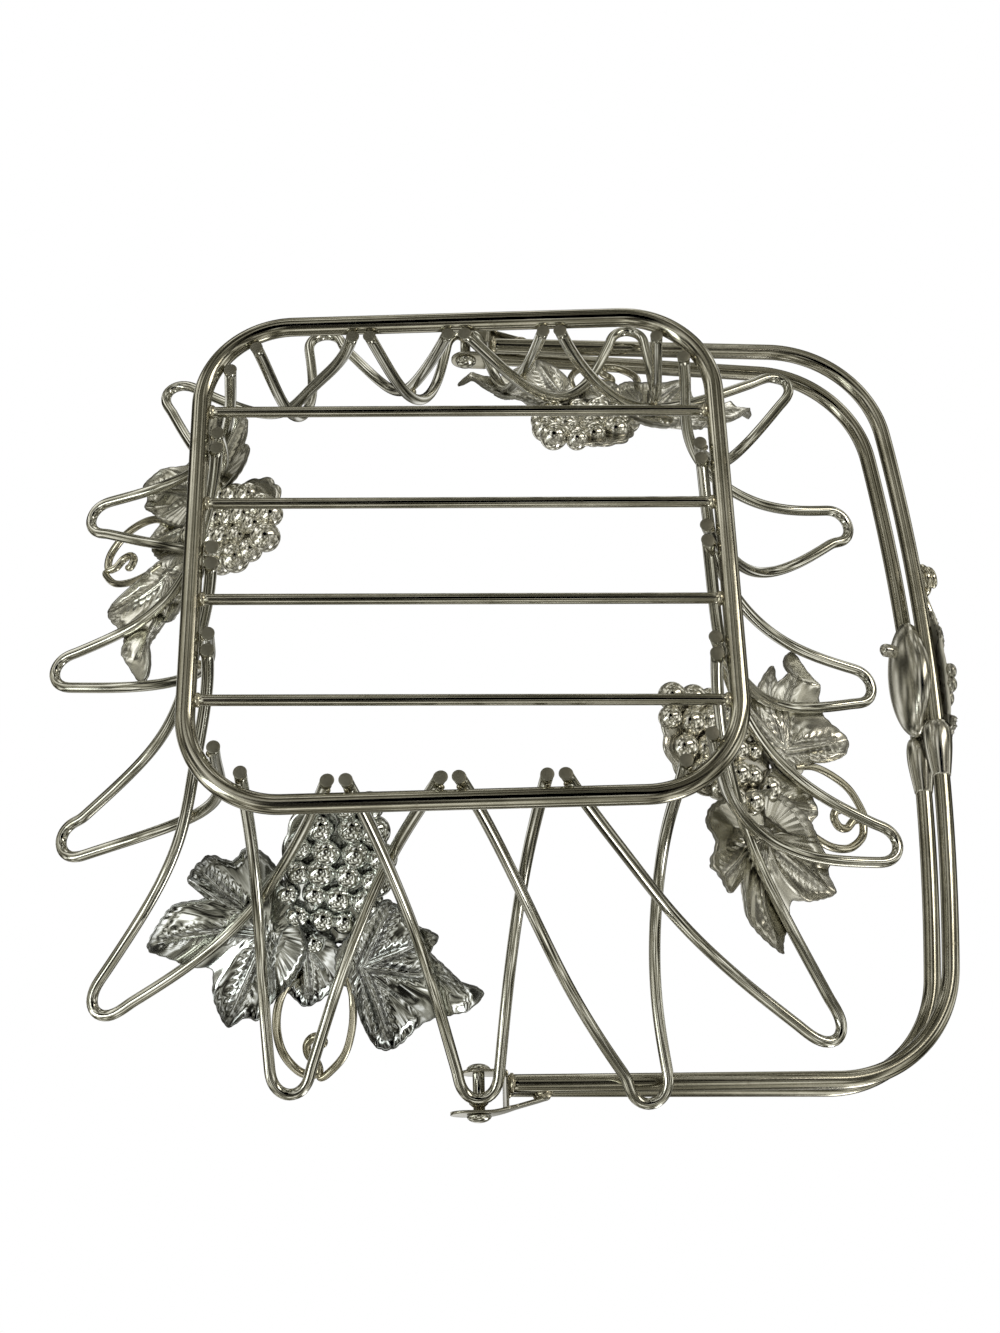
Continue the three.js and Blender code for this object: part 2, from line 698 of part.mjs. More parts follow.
// The path of one handle rod: two arms, two round corners and the bow. level is -1 or 1.
function handlePath(level) {
  const armSteps = 3;
  const cornerSteps = 8;
  const bowSteps = 10;
  const bowAngle = Math.asin((handleHalfWidth - handleCornerRadius) / (handleBowRadius - handleCornerRadius));
  const bowHalf = handleBowRadius * Math.sin(bowAngle);
  const cornerMiddle = (handleBowRadius - handleCornerRadius) * Math.cos(bowAngle);
  const cornerReach = handleReach - handleBowRadius + cornerMiddle;
  const armStart = bracketLength + touchGap;
  const half = [];
  for (let i = 0; i < armSteps; i += 1) {
    half.push([armStart + ((cornerReach - armStart) * i) / armSteps, handleHalfWidth]);
  }
  for (let i = 0; i < cornerSteps; i += 1) {
    const angle = ((Math.PI / 2 - bowAngle) * i) / cornerSteps;
    const reach = cornerReach + handleCornerRadius * Math.sin(angle);
    half.push([reach, handleHalfWidth - handleCornerRadius * (1 - Math.cos(angle))]);
  }
  const outline = half.map(([reach, along]) => [reach, -along]);
  for (let i = 0; i <= bowSteps; i += 1) {
    const along = bowHalf * ((2 * i) / bowSteps - 1);
    outline.push([bowReachAt(along), along]);
  }
  outline.push(...half.reverse());
  return outline.map(([reach, along]) => new THREE.Vector3(reach, along, level * rodHalfSpacing(reach)));
}

function box(from, to) {
  const size = to.clone().sub(from);
  const middle = from.clone().add(to).multiplyScalar(0.5);
  return solidFrom(new THREE.BoxGeometry(size.x, size.y, size.z).translate(middle.x, middle.y, middle.z));
}

// A round pin or eye along Y, between two distances along it.
function drum(radius, from, to, reach = 0) {
  const cylinder = new THREE.CylinderGeometry(radius, radius, to - from, roundSides);
  return solidFrom(cylinder.translate(reach, (from + to) / 2, 0));
}

// A bracket bent from sheet, at the +Y pivot: an inner and an outer cheek with a web between them,
// and a tail from the outer cheek to the outer side of the rods.
function bracketSolid() {
  const halfHeight = bracketHeight / 2;
  const innerFace = bracketMiddle - bracketInside / 2;
  const outerFace = bracketMiddle + bracketInside / 2;
  const inner = box(
    new THREE.Vector3(0, innerFace - bracketSheet, -halfHeight),
    new THREE.Vector3(bracketLength, innerFace, halfHeight),
  );
  const outer = box(
    new THREE.Vector3(-bracketOverhang, outerFace, -halfHeight),
    new THREE.Vector3(bracketLength, outerFace + bracketSheet, halfHeight),
  );
  const web = box(
    new THREE.Vector3(bracketLength - bracketSheet, innerFace - bracketSheet, -halfHeight),
    new THREE.Vector3(bracketLength, outerFace + bracketSheet, halfHeight),
  );
  const eyes = [
    drum(halfHeight, innerFace - bracketSheet, innerFace),
    drum(halfHeight, outerFace, outerFace + bracketSheet, -bracketOverhang),
  ];
  const tailInside = handleHalfWidth + rodReach + touchGap;
  const tail = new THREE.Shape([
    new THREE.Vector2(bracketLength - bracketSheet, outerFace),
    new THREE.Vector2(bracketLength + bracketTailLength / 2, tailInside),
    new THREE.Vector2(bracketLength + bracketTailLength, tailInside),
    new THREE.Vector2(bracketLength + bracketTailLength, tailInside + bracketSheet),
    new THREE.Vector2(bracketLength + bracketTailLength / 2, tailInside + bracketSheet),
    new THREE.Vector2(bracketLength - bracketSheet, outerFace + bracketSheet),
  ]);
  const tailSheet = new THREE.ExtrudeGeometry(tail, { depth: bracketHeight, bevelEnabled: false });
  const tailSolid = solidFrom(tailSheet.translate(0, 0, -halfHeight));
  const holeRadius = pinDiameter / 2 + pinClearance;
  const hole = drum(holeRadius, innerFace - 2 * bracketSheet, outerFace + 2 * bracketSheet);
  return [outer, web, ...eyes, tailSolid].reduce((whole, piece) => whole.add(piece), inner).subtract(hole);
}

// A pivot pin along Y at the +Y pivot, with a domed head outside each cheek.
function pinGeometry() {
  const innerHead = bracketMiddle - bracketInside / 2 - bracketSheet - touchGap;
  const outerHead = bracketMiddle + bracketInside / 2 + bracketSheet + touchGap;
  const headReach = pinHeadDiameter / 2;
  const domeReach = headReach * Math.SQRT1_2;
  const domeHeight = pinHeadHeight * Math.SQRT1_2;
  const profile = [
    new THREE.Vector2(0, innerHead - pinHeadHeight),
    new THREE.Vector2(domeReach, innerHead - domeHeight),
    new THREE.Vector2(headReach, innerHead),
    new THREE.Vector2(pinDiameter / 2, innerHead),
    new THREE.Vector2(pinDiameter / 2, outerHead),
    new THREE.Vector2(headReach, outerHead),
    new THREE.Vector2(domeReach, outerHead + domeHeight),
    new THREE.Vector2(0, outerHead + pinHeadHeight),
  ];
  return new THREE.LatheGeometry(profile, roundSides);
}

// The frame of a piece laid on the outer side of the handle's bow: u runs along the bow, v across
// the two rods, and the third direction away from the basket.
function crestSeat(along) {
  const outward = new THREE.Vector3(bowReachAt(along) - handleReach + handleBowRadius, along, 0).normalize();
  const origin = new THREE.Vector3(bowReachAt(along), along, 0).addScaledVector(outward, rodReach + touchGap);
  const across = new THREE.Vector3(0, 0, 1);
  return new THREE.Matrix4().makeBasis(across.clone().cross(outward), across, outward).setPosition(origin);
}

// The smooth boat-shaped shell on the inner side of the bow, let in round both rods.
function crestShell(rodCutters) {
  const shell = new THREE.SphereGeometry(1, 16, 10);
  shell.scale(crestShellHalfDepth, crestShellHalfLength, crestShellHalfHeight);
  const reach = bowReachAt(crestShellAlong) + rodReach - crestShellHalfDepth;
  const knob = new THREE.SphereGeometry(crestKnobRadius, 8, 6);
  const knobReach = reach - crestShellHalfDepth + crestKnobRadius / 2;
  const body = solidFrom(shell.translate(reach, crestShellAlong, 0));
  const nub = solidFrom(knob.translate(knobReach, crestKnobAlong, 0));
  return cutLeaf(body.add(nub), rodCutters);
}

// The cast ornament on the bow: a shell inside, and leaves, grapes and a tendril outside.
function handleCrest(handle, rodPaths) {
  const cutterDiameter = handleRodDiameter + 2 * touchGap;
  const rodCutters = rodPaths.map((path) => solidFrom(rodAlong(path, cutterDiameter, rodSides)));
  const turned = (across, down) => {
    const centre = new THREE.Vector3(0, across, crestGrapeRadius * grapeFacetReach);
    return centre.applyMatrix4(crestSeat(crestBunchAlong + down));
  };
  const bunch = grapeBunch(crestGrapeRows, crestGrapeRadius, crestGrapeSpacing, turned);
  const cutterRadius = crestGrapeRadius + touchGap;
  const bunchCutter = grapeBunch(crestGrapeRows, cutterRadius, crestGrapeSpacing, turned);
  const curlSeat = crestSeat(crestCurlAlong);
  const curlMiddle = new THREE.Vector3(0, 0, crestCurlRadius + stemDiameter / 2);
  const stem = [new THREE.Vector3(crestStemRun, 0, leafCrown + leafThickness + stemDiameter)];
  curlPoints(crestCurlRadius, crestCurlRise).forEach((point) => {
    stem.push(new THREE.Vector3(-point.x, point.z, point.y).add(curlMiddle));
  });
  const stemCurve = new THREE.CatmullRomCurve3(stem.map((point) => point.applyMatrix4(curlSeat)));
  const stemPath = stemCurve.getPoints(24);
  const stemCutter = solidFrom(rodAlong(stemPath, stemDiameter + 2 * touchGap, stemSides));
  addPiece(handle, 'crest_shell', crestShell(rodCutters), brightSilver);
  addPiece(handle, 'crest_grape_bunch', geometryFromSolid(bunch), brightSilver);
  [-1, 1].forEach((end) => {
    const seat = crestSeat(crestBunchAlong + (end * crestLeafPitch) / 2);
    const leaf = leafGeometry(crestLeafRadius, leafCrown, end < 0 ? 180 : 0);
    const name = `crest_leaf_${end < 0 ? 1 : 2}`;
    addPiece(handle, name, cutLeaf(solidFrom(leaf, seat), [bunchCutter, stemCutter]), brightSilver);
  });
  addPiece(handle, 'crest_tendril', rodAlong(stemPath, stemDiameter, stemSides), warmSilver);
}

// The handle's own frame has its pivot axis along Y and its bow towards +X. It lies tilted up on the
// rods' first contact, the legs of the loops beside the pivot loops.
function foldedHandle() {
  const contactReach = tipPitch - tipHalfWidth;
  const contactHeight = rimHeight + wireReach + touchGap + rodReach + rodHalfSpacing(contactReach);
  const handle = new THREE.Group();
  handle.position.set(0, 0, pivotHeight);
  handle.rotation.y = -Math.asin((contactHeight - pivotHeight) / contactReach);
  basket.add(handle);
  const rodPaths = [-1, 1].map(handlePath);
  addPiece(handle, 'handle_rod_lower', rodAlong(rodPaths[0], handleRodDiameter, rodSides), darkSilver);
  addPiece(handle, 'handle_rod_upper', rodAlong(rodPaths[1], handleRodDiameter, rodSides), darkSilver);
  const bracket = bracketSolid();
  addPiece(handle, 'bracket_near', geometryFromSolid(bracket), darkSilver);
  addPiece(handle, 'bracket_far', geometryFromSolid(bracket.mirror([0, 1, 0])), darkSilver);
  handleCrest(handle, rodPaths);
}

function pivotPins() {
  const near = addPiece(basket, 'pivot_pin_near', pinGeometry(), darkSilver);
  near.position.set(0, 0, pivotHeight);
  const far = addPiece(basket, 'pivot_pin_far', pinGeometry(), darkSilver);
  far.position.set(0, 0, pivotHeight);
  far.rotation.z = Math.PI;
}

// Moves the whole basket sideways until the middle of its bounding box is over the origin.
function centreBasket() {
  const middle = new THREE.Box3().setFromObject(basket, true).getCenter(new THREE.Vector3());
  basket.position.set(-middle.x, -middle.y, 0);
}

baseRing();
crossBars();
wireLoops();
for (let side = 0; side < 4; side += 1) {
  wallOrnament(side);
}
pivotPins();
foldedHandle();
centreBasket();

export default basket;
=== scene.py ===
import math

import bpy
import numpy as np
from mathutils import Matrix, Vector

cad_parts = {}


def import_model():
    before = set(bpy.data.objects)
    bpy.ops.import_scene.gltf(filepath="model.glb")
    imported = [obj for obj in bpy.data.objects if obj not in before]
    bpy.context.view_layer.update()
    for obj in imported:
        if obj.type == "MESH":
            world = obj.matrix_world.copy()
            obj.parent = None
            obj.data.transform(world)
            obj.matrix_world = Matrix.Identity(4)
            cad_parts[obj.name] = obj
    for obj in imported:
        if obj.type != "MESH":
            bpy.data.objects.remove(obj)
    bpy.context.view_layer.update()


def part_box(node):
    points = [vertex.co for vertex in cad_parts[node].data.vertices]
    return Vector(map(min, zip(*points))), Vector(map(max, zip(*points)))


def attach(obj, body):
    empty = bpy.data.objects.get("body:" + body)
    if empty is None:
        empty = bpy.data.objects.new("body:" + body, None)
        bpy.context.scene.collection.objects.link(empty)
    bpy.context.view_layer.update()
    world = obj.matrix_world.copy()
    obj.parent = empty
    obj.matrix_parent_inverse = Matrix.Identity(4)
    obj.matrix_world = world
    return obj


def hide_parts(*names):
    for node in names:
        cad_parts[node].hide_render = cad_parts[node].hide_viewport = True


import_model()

# Lengths are millimetres in the basket's own frame: the base stands on z = 0, the middle of its ring is
# the origin, and the handle is folded towards +X. place() turns them into metres in the row frame.

# Stock, and the sides of the CAD's sections, whose corners set the gaps between touching pieces
RING_DIAMETER = 6.35
WIRE_DIAMETER = 4.0
BAR_DIAMETER = 3.6
ROD_DIAMETER = 6.35
RING_SIDES = 12
WIRE_SIDES = 6
ROD_SIDES = 8
TOUCH_GAP = 0.3

# Base ring and cross bars
BASE_WIDTH = 170.0
BASE_CORNER_RADIUS = 30.0
BAR_PITCH = 34.3
BAR_COUNT = 4
BARS_ASIDE = 1.4
BAR_SKEW = math.radians(1.6)
SEAM_ALONG = 10.0
SEAM_WIDTH = 2.0
SEAM_HEIGHT = 0.03
FOOT_BEAD_HEIGHT = 3.6
LONGEST_CUT = 3.4

# Wall of wire loops, one for each station round the base
STATIONS = 16
FOOT_PITCH = 34.0
FOOT_SPREAD = 2.8
CORNER_FOOT_SPREAD = 6.0
FOOT_HEIGHT = 0.4
RIM_REACH = 154.0
RIM_CORNER_REACH = 182.6
RIM_HEIGHT = 114.0
RIM_TWIST = math.radians(2)
TIP_PITCH = 63.5
TIP_HALF_WIDTH = 7.0
TIP_LENGTH = 8.0
BELLY_REACH = 18.0
BELLY_HEIGHT = 104.0
SHOULDER_REACH = 50.0
SHOULDER_HEIGHT = 103.0
SIDEWAYS_BY_HEIGHT = 0.85
PIVOT_STATIONS = (2, 10)
SETTLING_ROUNDS = 8
EASING_ROUNDS = 5
# How far out and aside each tip is bent and how far aside each station's feet stand, by station, and how
# far the two legs bow, by the loop's place on its side
TIP_BENDS = [
    (-1, -2), (1, 4), (2, 0), (3, 0), (4, -3), (2, -1), (-3, -3), (-7, 1),
    (0, 5), (3, 2), (2, 0), (1, -1), (-3, -2), (-2, -4), (5, -2), (-5, 1),
]
FOOT_SHIFTS = [0, -4, -4, -6, 0, -4, 1, -3, 0, 2, 0, -2, 0, -6, 2, -2]
LEG_BOWS = {-1: (-3, 2), 0: (-4, 0.5), 1: (-12, -5), 2: (-3.5, 6)}

# Pivot pins, brackets and handle rods
PIN_DIAMETER = 4.2
PIN_HEAD_DIAMETER = 8.6
PIN_HEAD_HEIGHT = 2.2
PIN_FILLET = 0.2
BRACKET_SETBACK = 3.0
BRACKET_SHEET = 1.2
BRACKET_INSIDE = 12.7
BRACKET_HEIGHT = 12.0
BRACKET_LENGTH = 10.0
BRACKET_OVERHANG = 4.0
BRACKET_TAIL = 14.0
BOW_OVERHANG = 24.0
ARM_SETBACK = 2.5
HANDLE_CORNER_RADIUS = 45.0
HANDLE_BOW_RADIUS = 910.0
SPACING_AT_BRACKET = 8.5
SPACING_AT_BOW = 20.0

# The handle's ornament, placed along the bow
BOAT_ALONG = -6.0
BOAT_HALF_LENGTH = 24.0
BOAT_HALF_DEPTH = 7.5
BOAT_HALF_HEIGHT = 15.0
CREST_BUNCH_ALONG = -2.0
CREST_LEAF_PITCH = 44.0
CREST_CURL_ALONG = -49.0
CREST_CURL_RADIUS = 6.0
CREST_STEM_RADIUS = 1.6
CUFF_ALONG = (13, 38)

# Each wall's casting is nearly flat. Its plane leans back from the wall's middle slope and turns towards
# the corner. Places on it are (across, up the slope), and levels are heights off it. Its sheets drape
# over the wires that run within the two distances below from its middle and its plane.
CASTING_PLACE = np.array([-53.0, 114.0, 93.0])
CASTING_TURN = math.radians(10)
CASTING_SLOPE = math.radians(43)
WIRES_BESIDE = 75
WIRES_OFF_PLANE = 8
DRAPE_RADIUS = 14.0
DRAPE_SOFTNESS = 0.8
LEAF_LEVEL = 1.0
CENTRE_LEAF_LEVEL = 2.8
TOOTH_PITCH = 3.6
TOOTH_DEPTH = 0.9
PAD_HEIGHT = 2.8
RIB_HEIGHT = 0.75
PAD_SPREAD = 0.62
SIDE_RIB_HEIGHT = 0.42
SIDE_RIB_REACH = 5.6
GROOVE_DEPTH = 0.3
EDGE_DROP = 1.6
EDGE_WAVE = 0.9
CORNER_OUTLINE = [
    (-40, 9), (-37, 14), (-27, 19), (-19, 18), (-17, 25), (-11, 36), (-5, 32), (0, 32), (5, 23), (12, 12),
    (15, 0), (10, -14), (1, -30), (-7, -34), (-12, -28), (-21, -28), (-27, -18), (-21, -12), (-31, -8),
    (-36, -1),
]
CORNER_VEINS = [(-24, -24), (-39, 8), (-11, 34)]
MIDDLE_OUTLINE = [
    (42, 5), (33, 13), (26, 16), (21, 19), (15, 26), (8, 28), (2, 20), (-2, 10), (-8, 6), (-9, -4),
    (-4, -13), (1, -20), (6, -28), (12, -26), (16, -20), (25, -17), (23, -9), (29, -4),
]
MIDDLE_VEINS = [(8, -26), (24, -16), (40, 0), (12, 26)]
CENTRE_OUTLINE = [
    (4, 25), (-1, 23), (-6, 19), (-9, 10), (-7, 0), (-2, -6), (6, -5), (13, 2), (15, 12), (11, 20),
]
CENTRE_VEINS = [(4, 23)]
GRAPE_ROWS = (1, 3, 4, 4, 4, 3, 2)
ROW_STEP = 8.7
GRAPE_STEP = 9.0
FIRST_ROW = -8.5
BUNCH_ASIDE = -3.2
BUNCH_LEAN = 1.9
GRAPE_SIZES = (3.7, 5.6)
GRAPE_LEVEL = 2.6
PLATE_BOW = 1.2
PLATE_THICKNESS = 1.2
# The tendril's two stems: their points, the count of steps along them, and their radius
TENDRIL_STEMS = [
    ([
        (-10, 6, 3), (-13.5, 16, 2), (-14, 27, 2), (-11, 37, 2), (-4.5, 43.5, 2), (1.5, 43.5, 2.6),
        (1, 40.5, 4), (-2.6, 38, 5), (-3.4, 34, 5.4), (-1, 30.6, 5.4), (2.2, 31.4, 5.2), (2.2, 34.2, 5),
    ], 150, 1.5),
    ([(9, 4, 3), (12, 12, 2), (12.5, 23, 2), (10.5, 34, 2), (5, 43, 2.4), (1.5, 46, 3)], 90, 1.35),
]

# The photograph's camera looks up at a point. Its angles are radians.
CAMERA_TARGET = np.array([11.66, 30.61, 30.0])
CAMERA_DISTANCE = 554.64
CAMERA_TURN = -0.01605
CAMERA_BELOW = 1.16707
CAMERA_ROLL = 0.04276
FOCAL_PIXELS = 1700
PHOTO_HEIGHT = 1333
SENSOR_WIDTH = 36

# The room and the point that the lamps shine at, in metres
ROOM_RADIUS = 2.2
ROOM_PATCHES = 1.6
LIT_POINT = np.array([0.0, 0.0, 0.06])

ACROSS, ALONG, UP = np.eye(3)


def section_reach(diameter, sides):
    """Corner reach of a regular polygon whose area equals the round section's."""
    step = 2 * math.pi / sides
    return diameter / 2 * math.sqrt(step / math.sin(step))


ring_reach = section_reach(RING_DIAMETER, RING_SIDES)
wire_reach = section_reach(WIRE_DIAMETER, WIRE_SIDES)
rod_reach = section_reach(ROD_DIAMETER, ROD_SIDES)
ring_height = ring_reach * math.cos(math.pi / RING_SIDES)
wall_lean = BELLY_REACH / BELLY_HEIGHT
foot_clearance = ring_reach + wire_reach + TOUCH_GAP
foot_inset = foot_clearance * math.hypot(1, wall_lean) + wall_lean * (ring_height - FOOT_HEIGHT)
foot_half = BASE_WIDTH / 2 - foot_inset
foot_corner_radius = BASE_CORNER_RADIUS - foot_inset
wall_span = RIM_REACH - foot_half
pivot_reach = RIM_REACH + TIP_BENDS[PIVOT_STATIONS[0]][0]
pivot_height = RIM_HEIGHT + wire_reach + PIN_DIAMETER / 2 + TOUCH_GAP
bracket_middle = pivot_reach - BRACKET_SETBACK
handle_half_width = bracket_middle - ARM_SETBACK
handle_reach = RIM_REACH + BOW_OVERHANG

ring_low, ring_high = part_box("base_ring")
BASKET_SHIFT = np.array([(ring_low[0] + ring_high[0]) / 2, 0.0, 0.0])


def place(points):
    """Millimetres in the basket's frame to metres in the row frame."""
    return points / 1000 + BASKET_SHIFT


def length(vectors):
    return np.linalg.norm(vectors, axis=-1)


def unit(vectors):
    return vectors / np.maximum(length(vectors)[..., None], 1e-12)


def travelled(points):
    """How far along a line each of its points lies."""
    return np.append(0, np.cumsum(length(np.diff(points, axis=0))))


def full_turn(count):
    """Even angles round a circle."""
    return np.arange(count) / count * 2 * math.pi


def turned(points, angle):
    """Points turned about the upright axis by an angle."""
    cos, sin = math.cos(angle), math.sin(angle)
    x, y, z = np.moveaxis(points, -1, 0)
    return np.stack([x * cos - y * sin, x * sin + y * cos, z], axis=-1)


# Meshes from arrays


def outward(shape):
    """The same shape with its faces turned so that the volume they close is positive."""
    a, b, c, d = np.moveaxis(shape["points"][shape["faces"]], 1, 0)
    if np.sum(a * np.cross(b - d, c)) < 0:
        shape["faces"] = shape["faces"][:, ::-1]
        shape["uv"] = shape["uv"][:, ::-1]
    return shape


def skin(rings, start=None, end=None, closed=False, values=None):
    """A surface through rings of points, each ring closed on itself. Start and end are poles that close
    the ends, or closed joins the last ring to the first. UV is (place round the ring, length along), in
    metres."""
    count, around = rings.shape[:2]
    points = rings.reshape(-1, 3)
    girth = length(rings - np.roll(rings, -1, axis=1)).sum(1).mean()
    steps = length(np.diff(rings.mean(1), axis=0))
    lengths = np.append(0, np.cumsum(np.maximum(steps, 1e-3)))
    lengths = np.append(lengths, lengths[-1] * count / (count - 1))
    spans = count if closed else count - 1
    i, j = np.divmod(np.arange(spans * around), around)
    k, n = (j + 1) % around, (i + 1) % count
    faces = np.stack([i * around + j, i * around + k, n * around + k, n * around + j], -1)
    u0, u1 = girth * j / around, girth * (j + 1) / around
    v0, v1 = lengths[i], lengths[i + 1]
    uv = np.stack([np.stack(p, -1) for p in ((u0, v0), (u1, v0), (u1, v1), (u0, v1))], axis=1)
    marks = np.zeros(len(points)) if values is None else np.asarray(values, float).ravel()
    ring = np.arange(around)
    after = (ring + 1) % around
    for pole, row, one, other in ((start, 0, after, ring), (end, count - 1, ring, after)):
        if pole is None:
            continue
        on_row = row * around
        tip = 0 * ring + len(points)
        points = np.vstack([points, pole])
        marks = np.append(marks, marks[on_row + ring].mean())
        faces = np.vstack([faces, np.stack([on_row + one, on_row + other, tip, tip], -1)])
        fan_uv = np.stack([girth * ring / around, 0 * ring + lengths[row]], -1)
        uv = np.concatenate([uv, np.repeat(fan_uv[:, None], 4, axis=1)])
    return outward({"points": points, "faces": faces, "uv": uv / 1000, "values": marks})


def joined(shapes):
    """Several shapes as one."""
    starts = np.cumsum([0] + [len(shape["points"]) for shape in shapes[:-1]])
    whole = {key: np.concatenate([shape[key] for shape in shapes]) for key in shapes[0]}
    whole["faces"] += np.repeat(starts, [len(shape["faces"]) for shape in shapes])[:, None]
    return whole


def moved(shape, move):
    """The same shape with its points passed through a function."""
    return outward({**shape, "points": move(shape["points"])})


def corner_lists(faces):
    """Each face's corners, with a repeated corner left out of the fans at the poles."""
    return [f[:3] if f[2] == f[3] else f[1:] if f[0] == f[1] else f for f in faces.tolist()]


def shown(name, data):
    """A new object in the scene."""
    made = bpy.data.objects.new(name, data)
    bpy.context.scene.collection.objects.link(made)
    return made


def piece(name, shape, look, body, *nodes):
    """Puts a shape into a mesh with smooth faces, its UV and its attribute of painted shade, rides it on a
    body and lets it stand for the CAD nodes named."""
    faces = shape["faces"]
    keep = faces != np.roll(faces, 1, axis=1)
    mesh = bpy.data.meshes.new(name)
    mesh.from_pydata(place(shape["points"]).tolist(), [], corner_lists(faces))
    layer = mesh.uv_layers.new(name="along")
    layer.data.foreach_set("uv", shape["uv"][keep].ravel())
    # Painted shade at each point, which the silver looks darken towards their tarnish colour
    painted_shade = mesh.attributes.new("painted_shade", "FLOAT", "POINT")
    painted_shade.data.foreach_set("value", shape["values"])
    mesh.polygons.foreach_set("use_smooth", np.ones(len(mesh.polygons), bool))
    mesh.materials.append(look)
    mesh.validate()
    made = shown(name, mesh)
    if nodes:
        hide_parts(*nodes)
    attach(made, body)


def tube(points, hints, radius, sides=20, closed=False, level_ends=False, bevel=0.25):
    """A round tube along points: each ring stands square to the path, its first direction nearest to the
    hint. radius is one number or one for each point. Open ends are flat with a small round edge."""
    if closed:
        tangents = unit(np.roll(points, -1, axis=0) - np.roll(points, 1, axis=0))
    else:
        tangents = unit(np.gradient(points, axis=0))
    if level_ends:
        tangents[0], tangents[-1] = UP, -UP
    hints = np.broadcast_to(hints, points.shape)
    first = unit(hints - np.sum(hints * tangents, -1, keepdims=True) * tangents)
    second = np.cross(tangents, first)
    angle = full_turn(sides)
    section = first[:, None] * np.cos(angle)[:, None] + second[:, None] * np.sin(angle)[:, None]
    radii = np.broadcast_to(radius, len(points))[:, None, None]
    rings = points[:, None] + section * radii
    if closed:
        return skin(rings, closed=True)
    start = points[:1, None] + section[:1] * (radii[:1] - bevel)
    end = points[-1:, None] + section[-1:] * (radii[-1:] - bevel)
    rings[0] += tangents[0] * bevel
    rings[-1] -= tangents[-1] * bevel
    return skin(np.concatenate([start, rings, end]), points[:1], points[-1:])


def eased(share):
    """A quarter circle: 0 at 0, and 1 from 1 on."""
    return np.sqrt(1 - (1 - np.clip(share, 0, 1)) ** 2)


def round_end(points, radius, rounded):
    """Radii that fall to nearly nothing at the path's last point, as a quarter circle over a length."""
    reach = travelled(points)
    return radius * eased((reach[-1] - reach) / rounded) + 0.05


def spline(points, count):
    """A Catmull-Rom curve through points, at even steps of its parameter."""
    points = np.asarray(points, float)
    ends = np.vstack([2 * points[0] - points[1], points, 2 * points[-1] - points[-2]])
    along = np.linspace(0, len(points) - 1, count)
    i = np.minimum(along.astype(int), len(points) - 2)
    t = (along - i)[:, None]
    a, b, c, d = (ends[i + k] for k in range(4))
    square, cube = 2 * a - 5 * b + 4 * c - d, 3 * b - 3 * c + d - a
    return 0.5 * (2 * b + (c - a) * t + square * t ** 2 + cube * t ** 3)


def sphere_points(polar, turn):
    """Points of a unit sphere by their angle from +Z and their turn about it."""
    flat = np.sin(polar)
    return np.stack([flat * np.cos(turn), flat * np.sin(turn), np.cos(polar) + 0 * turn], -1)


def ellipsoid(centre, axes, radii, rings=9, around=14):
    """A closed ball stretched along three axes (rows of axes) by three radii."""
    polar = np.linspace(0, math.pi, rings + 2)[1:-1, None]
    ball = sphere_points(polar, full_turn(around))
    axes = axes * np.reshape(radii, (3, 1))
    return skin(centre + ball @ axes, centre + axes[2:3], centre - axes[2:3])


def axes_along(direction, hint):
    """Three square directions: the first along a direction, the second nearest to a hint."""
    first = unit(direction)
    second = unit(hint - np.dot(hint, first) * first)
    return np.stack([first, second, np.cross(first, second)])


# The wall's shape


def rounded_square(half, corner_radius, side, along):
    """A place on a square with round corners and its outward direction, by the distance along one side
    from the side's middle, on round the corner's arc."""
    straight = half - corner_radius
    before_corner = np.clip(along, -straight, straight)
    angle = (along - before_corner) / corner_radius
    facing = np.stack([np.sin(angle), np.cos(angle), 0 * angle], axis=-1)
    middle = np.stack([before_corner, straight + 0 * angle, 0 * angle], axis=-1)
    turn = -side * math.pi / 2
    return turned(middle + corner_radius * facing, turn), turned(facing, turn)


def wall_curve(t):
    """The bell curve from foot (0) to rim (1): a cubic through foot, belly, shoulder and rim."""
    foot, belly, shoulder, rim = (1 - t) ** 3, 3 * (1 - t) ** 2 * t, 3 * (1 - t) * t ** 2, t ** 3
    out = (belly * BELLY_REACH + shoulder * SHOULDER_REACH) / wall_span + rim
    height = foot * FOOT_HEIGHT + belly * BELLY_HEIGHT + shoulder * SHOULDER_HEIGHT + rim * RIM_HEIGHT
    return out, height


def wall_slope(t):
    step = 1e-3
    out0, height0 = wall_curve(t - step)
    out1, height1 = wall_curve(t + step)
    return np.arctan2(height1 - height0, (out1 - out0) * wall_span)


def station_place(station):
    before = (station + STATIONS - 1) % STATIONS
    return before // 4, before % 4 - 1


def foot_point(station, slot):
    side, spot = station_place(station)
    if spot == 2:
        middle = foot_half - foot_corner_radius + foot_corner_radius * math.pi / 4
        return rounded_square(foot_half, foot_corner_radius, side, middle + slot * CORNER_FOOT_SPREAD)
    along = spot * FOOT_PITCH + slot * FOOT_SPREAD + FOOT_SHIFTS[station]
    return rounded_square(foot_half, foot_corner_radius, side, along)


def loop_frame(station):
    """A loop's outward and sideways directions, its reach, and where its tip's middle is."""
    side, spot = station_place(station)
    corner = spot == 2
    turn = -side * math.pi / 2 - (math.pi / 4 if corner else 0) + RIM_TWIST
    bend_out, bend_aside = TIP_BENDS[station]
    reach = (RIM_CORNER_REACH if corner else RIM_REACH) + bend_out
    straightened = reach * math.tan(RIM_TWIST) if station in PIVOT_STATIONS else 0
    return {
        "station": station,
        "spot": spot,
        "reach": reach,
        "outward": turned(ALONG, turn),
        "sideways": turned(ACROSS, turn),
        "centre": (0 if corner else spot * TIP_PITCH) + bend_aside + straightened,
    }


tip_share = TIP_LENGTH / (3 * math.hypot(wall_span - SHOULDER_REACH, RIM_HEIGHT - SHOULDER_HEIGHT))


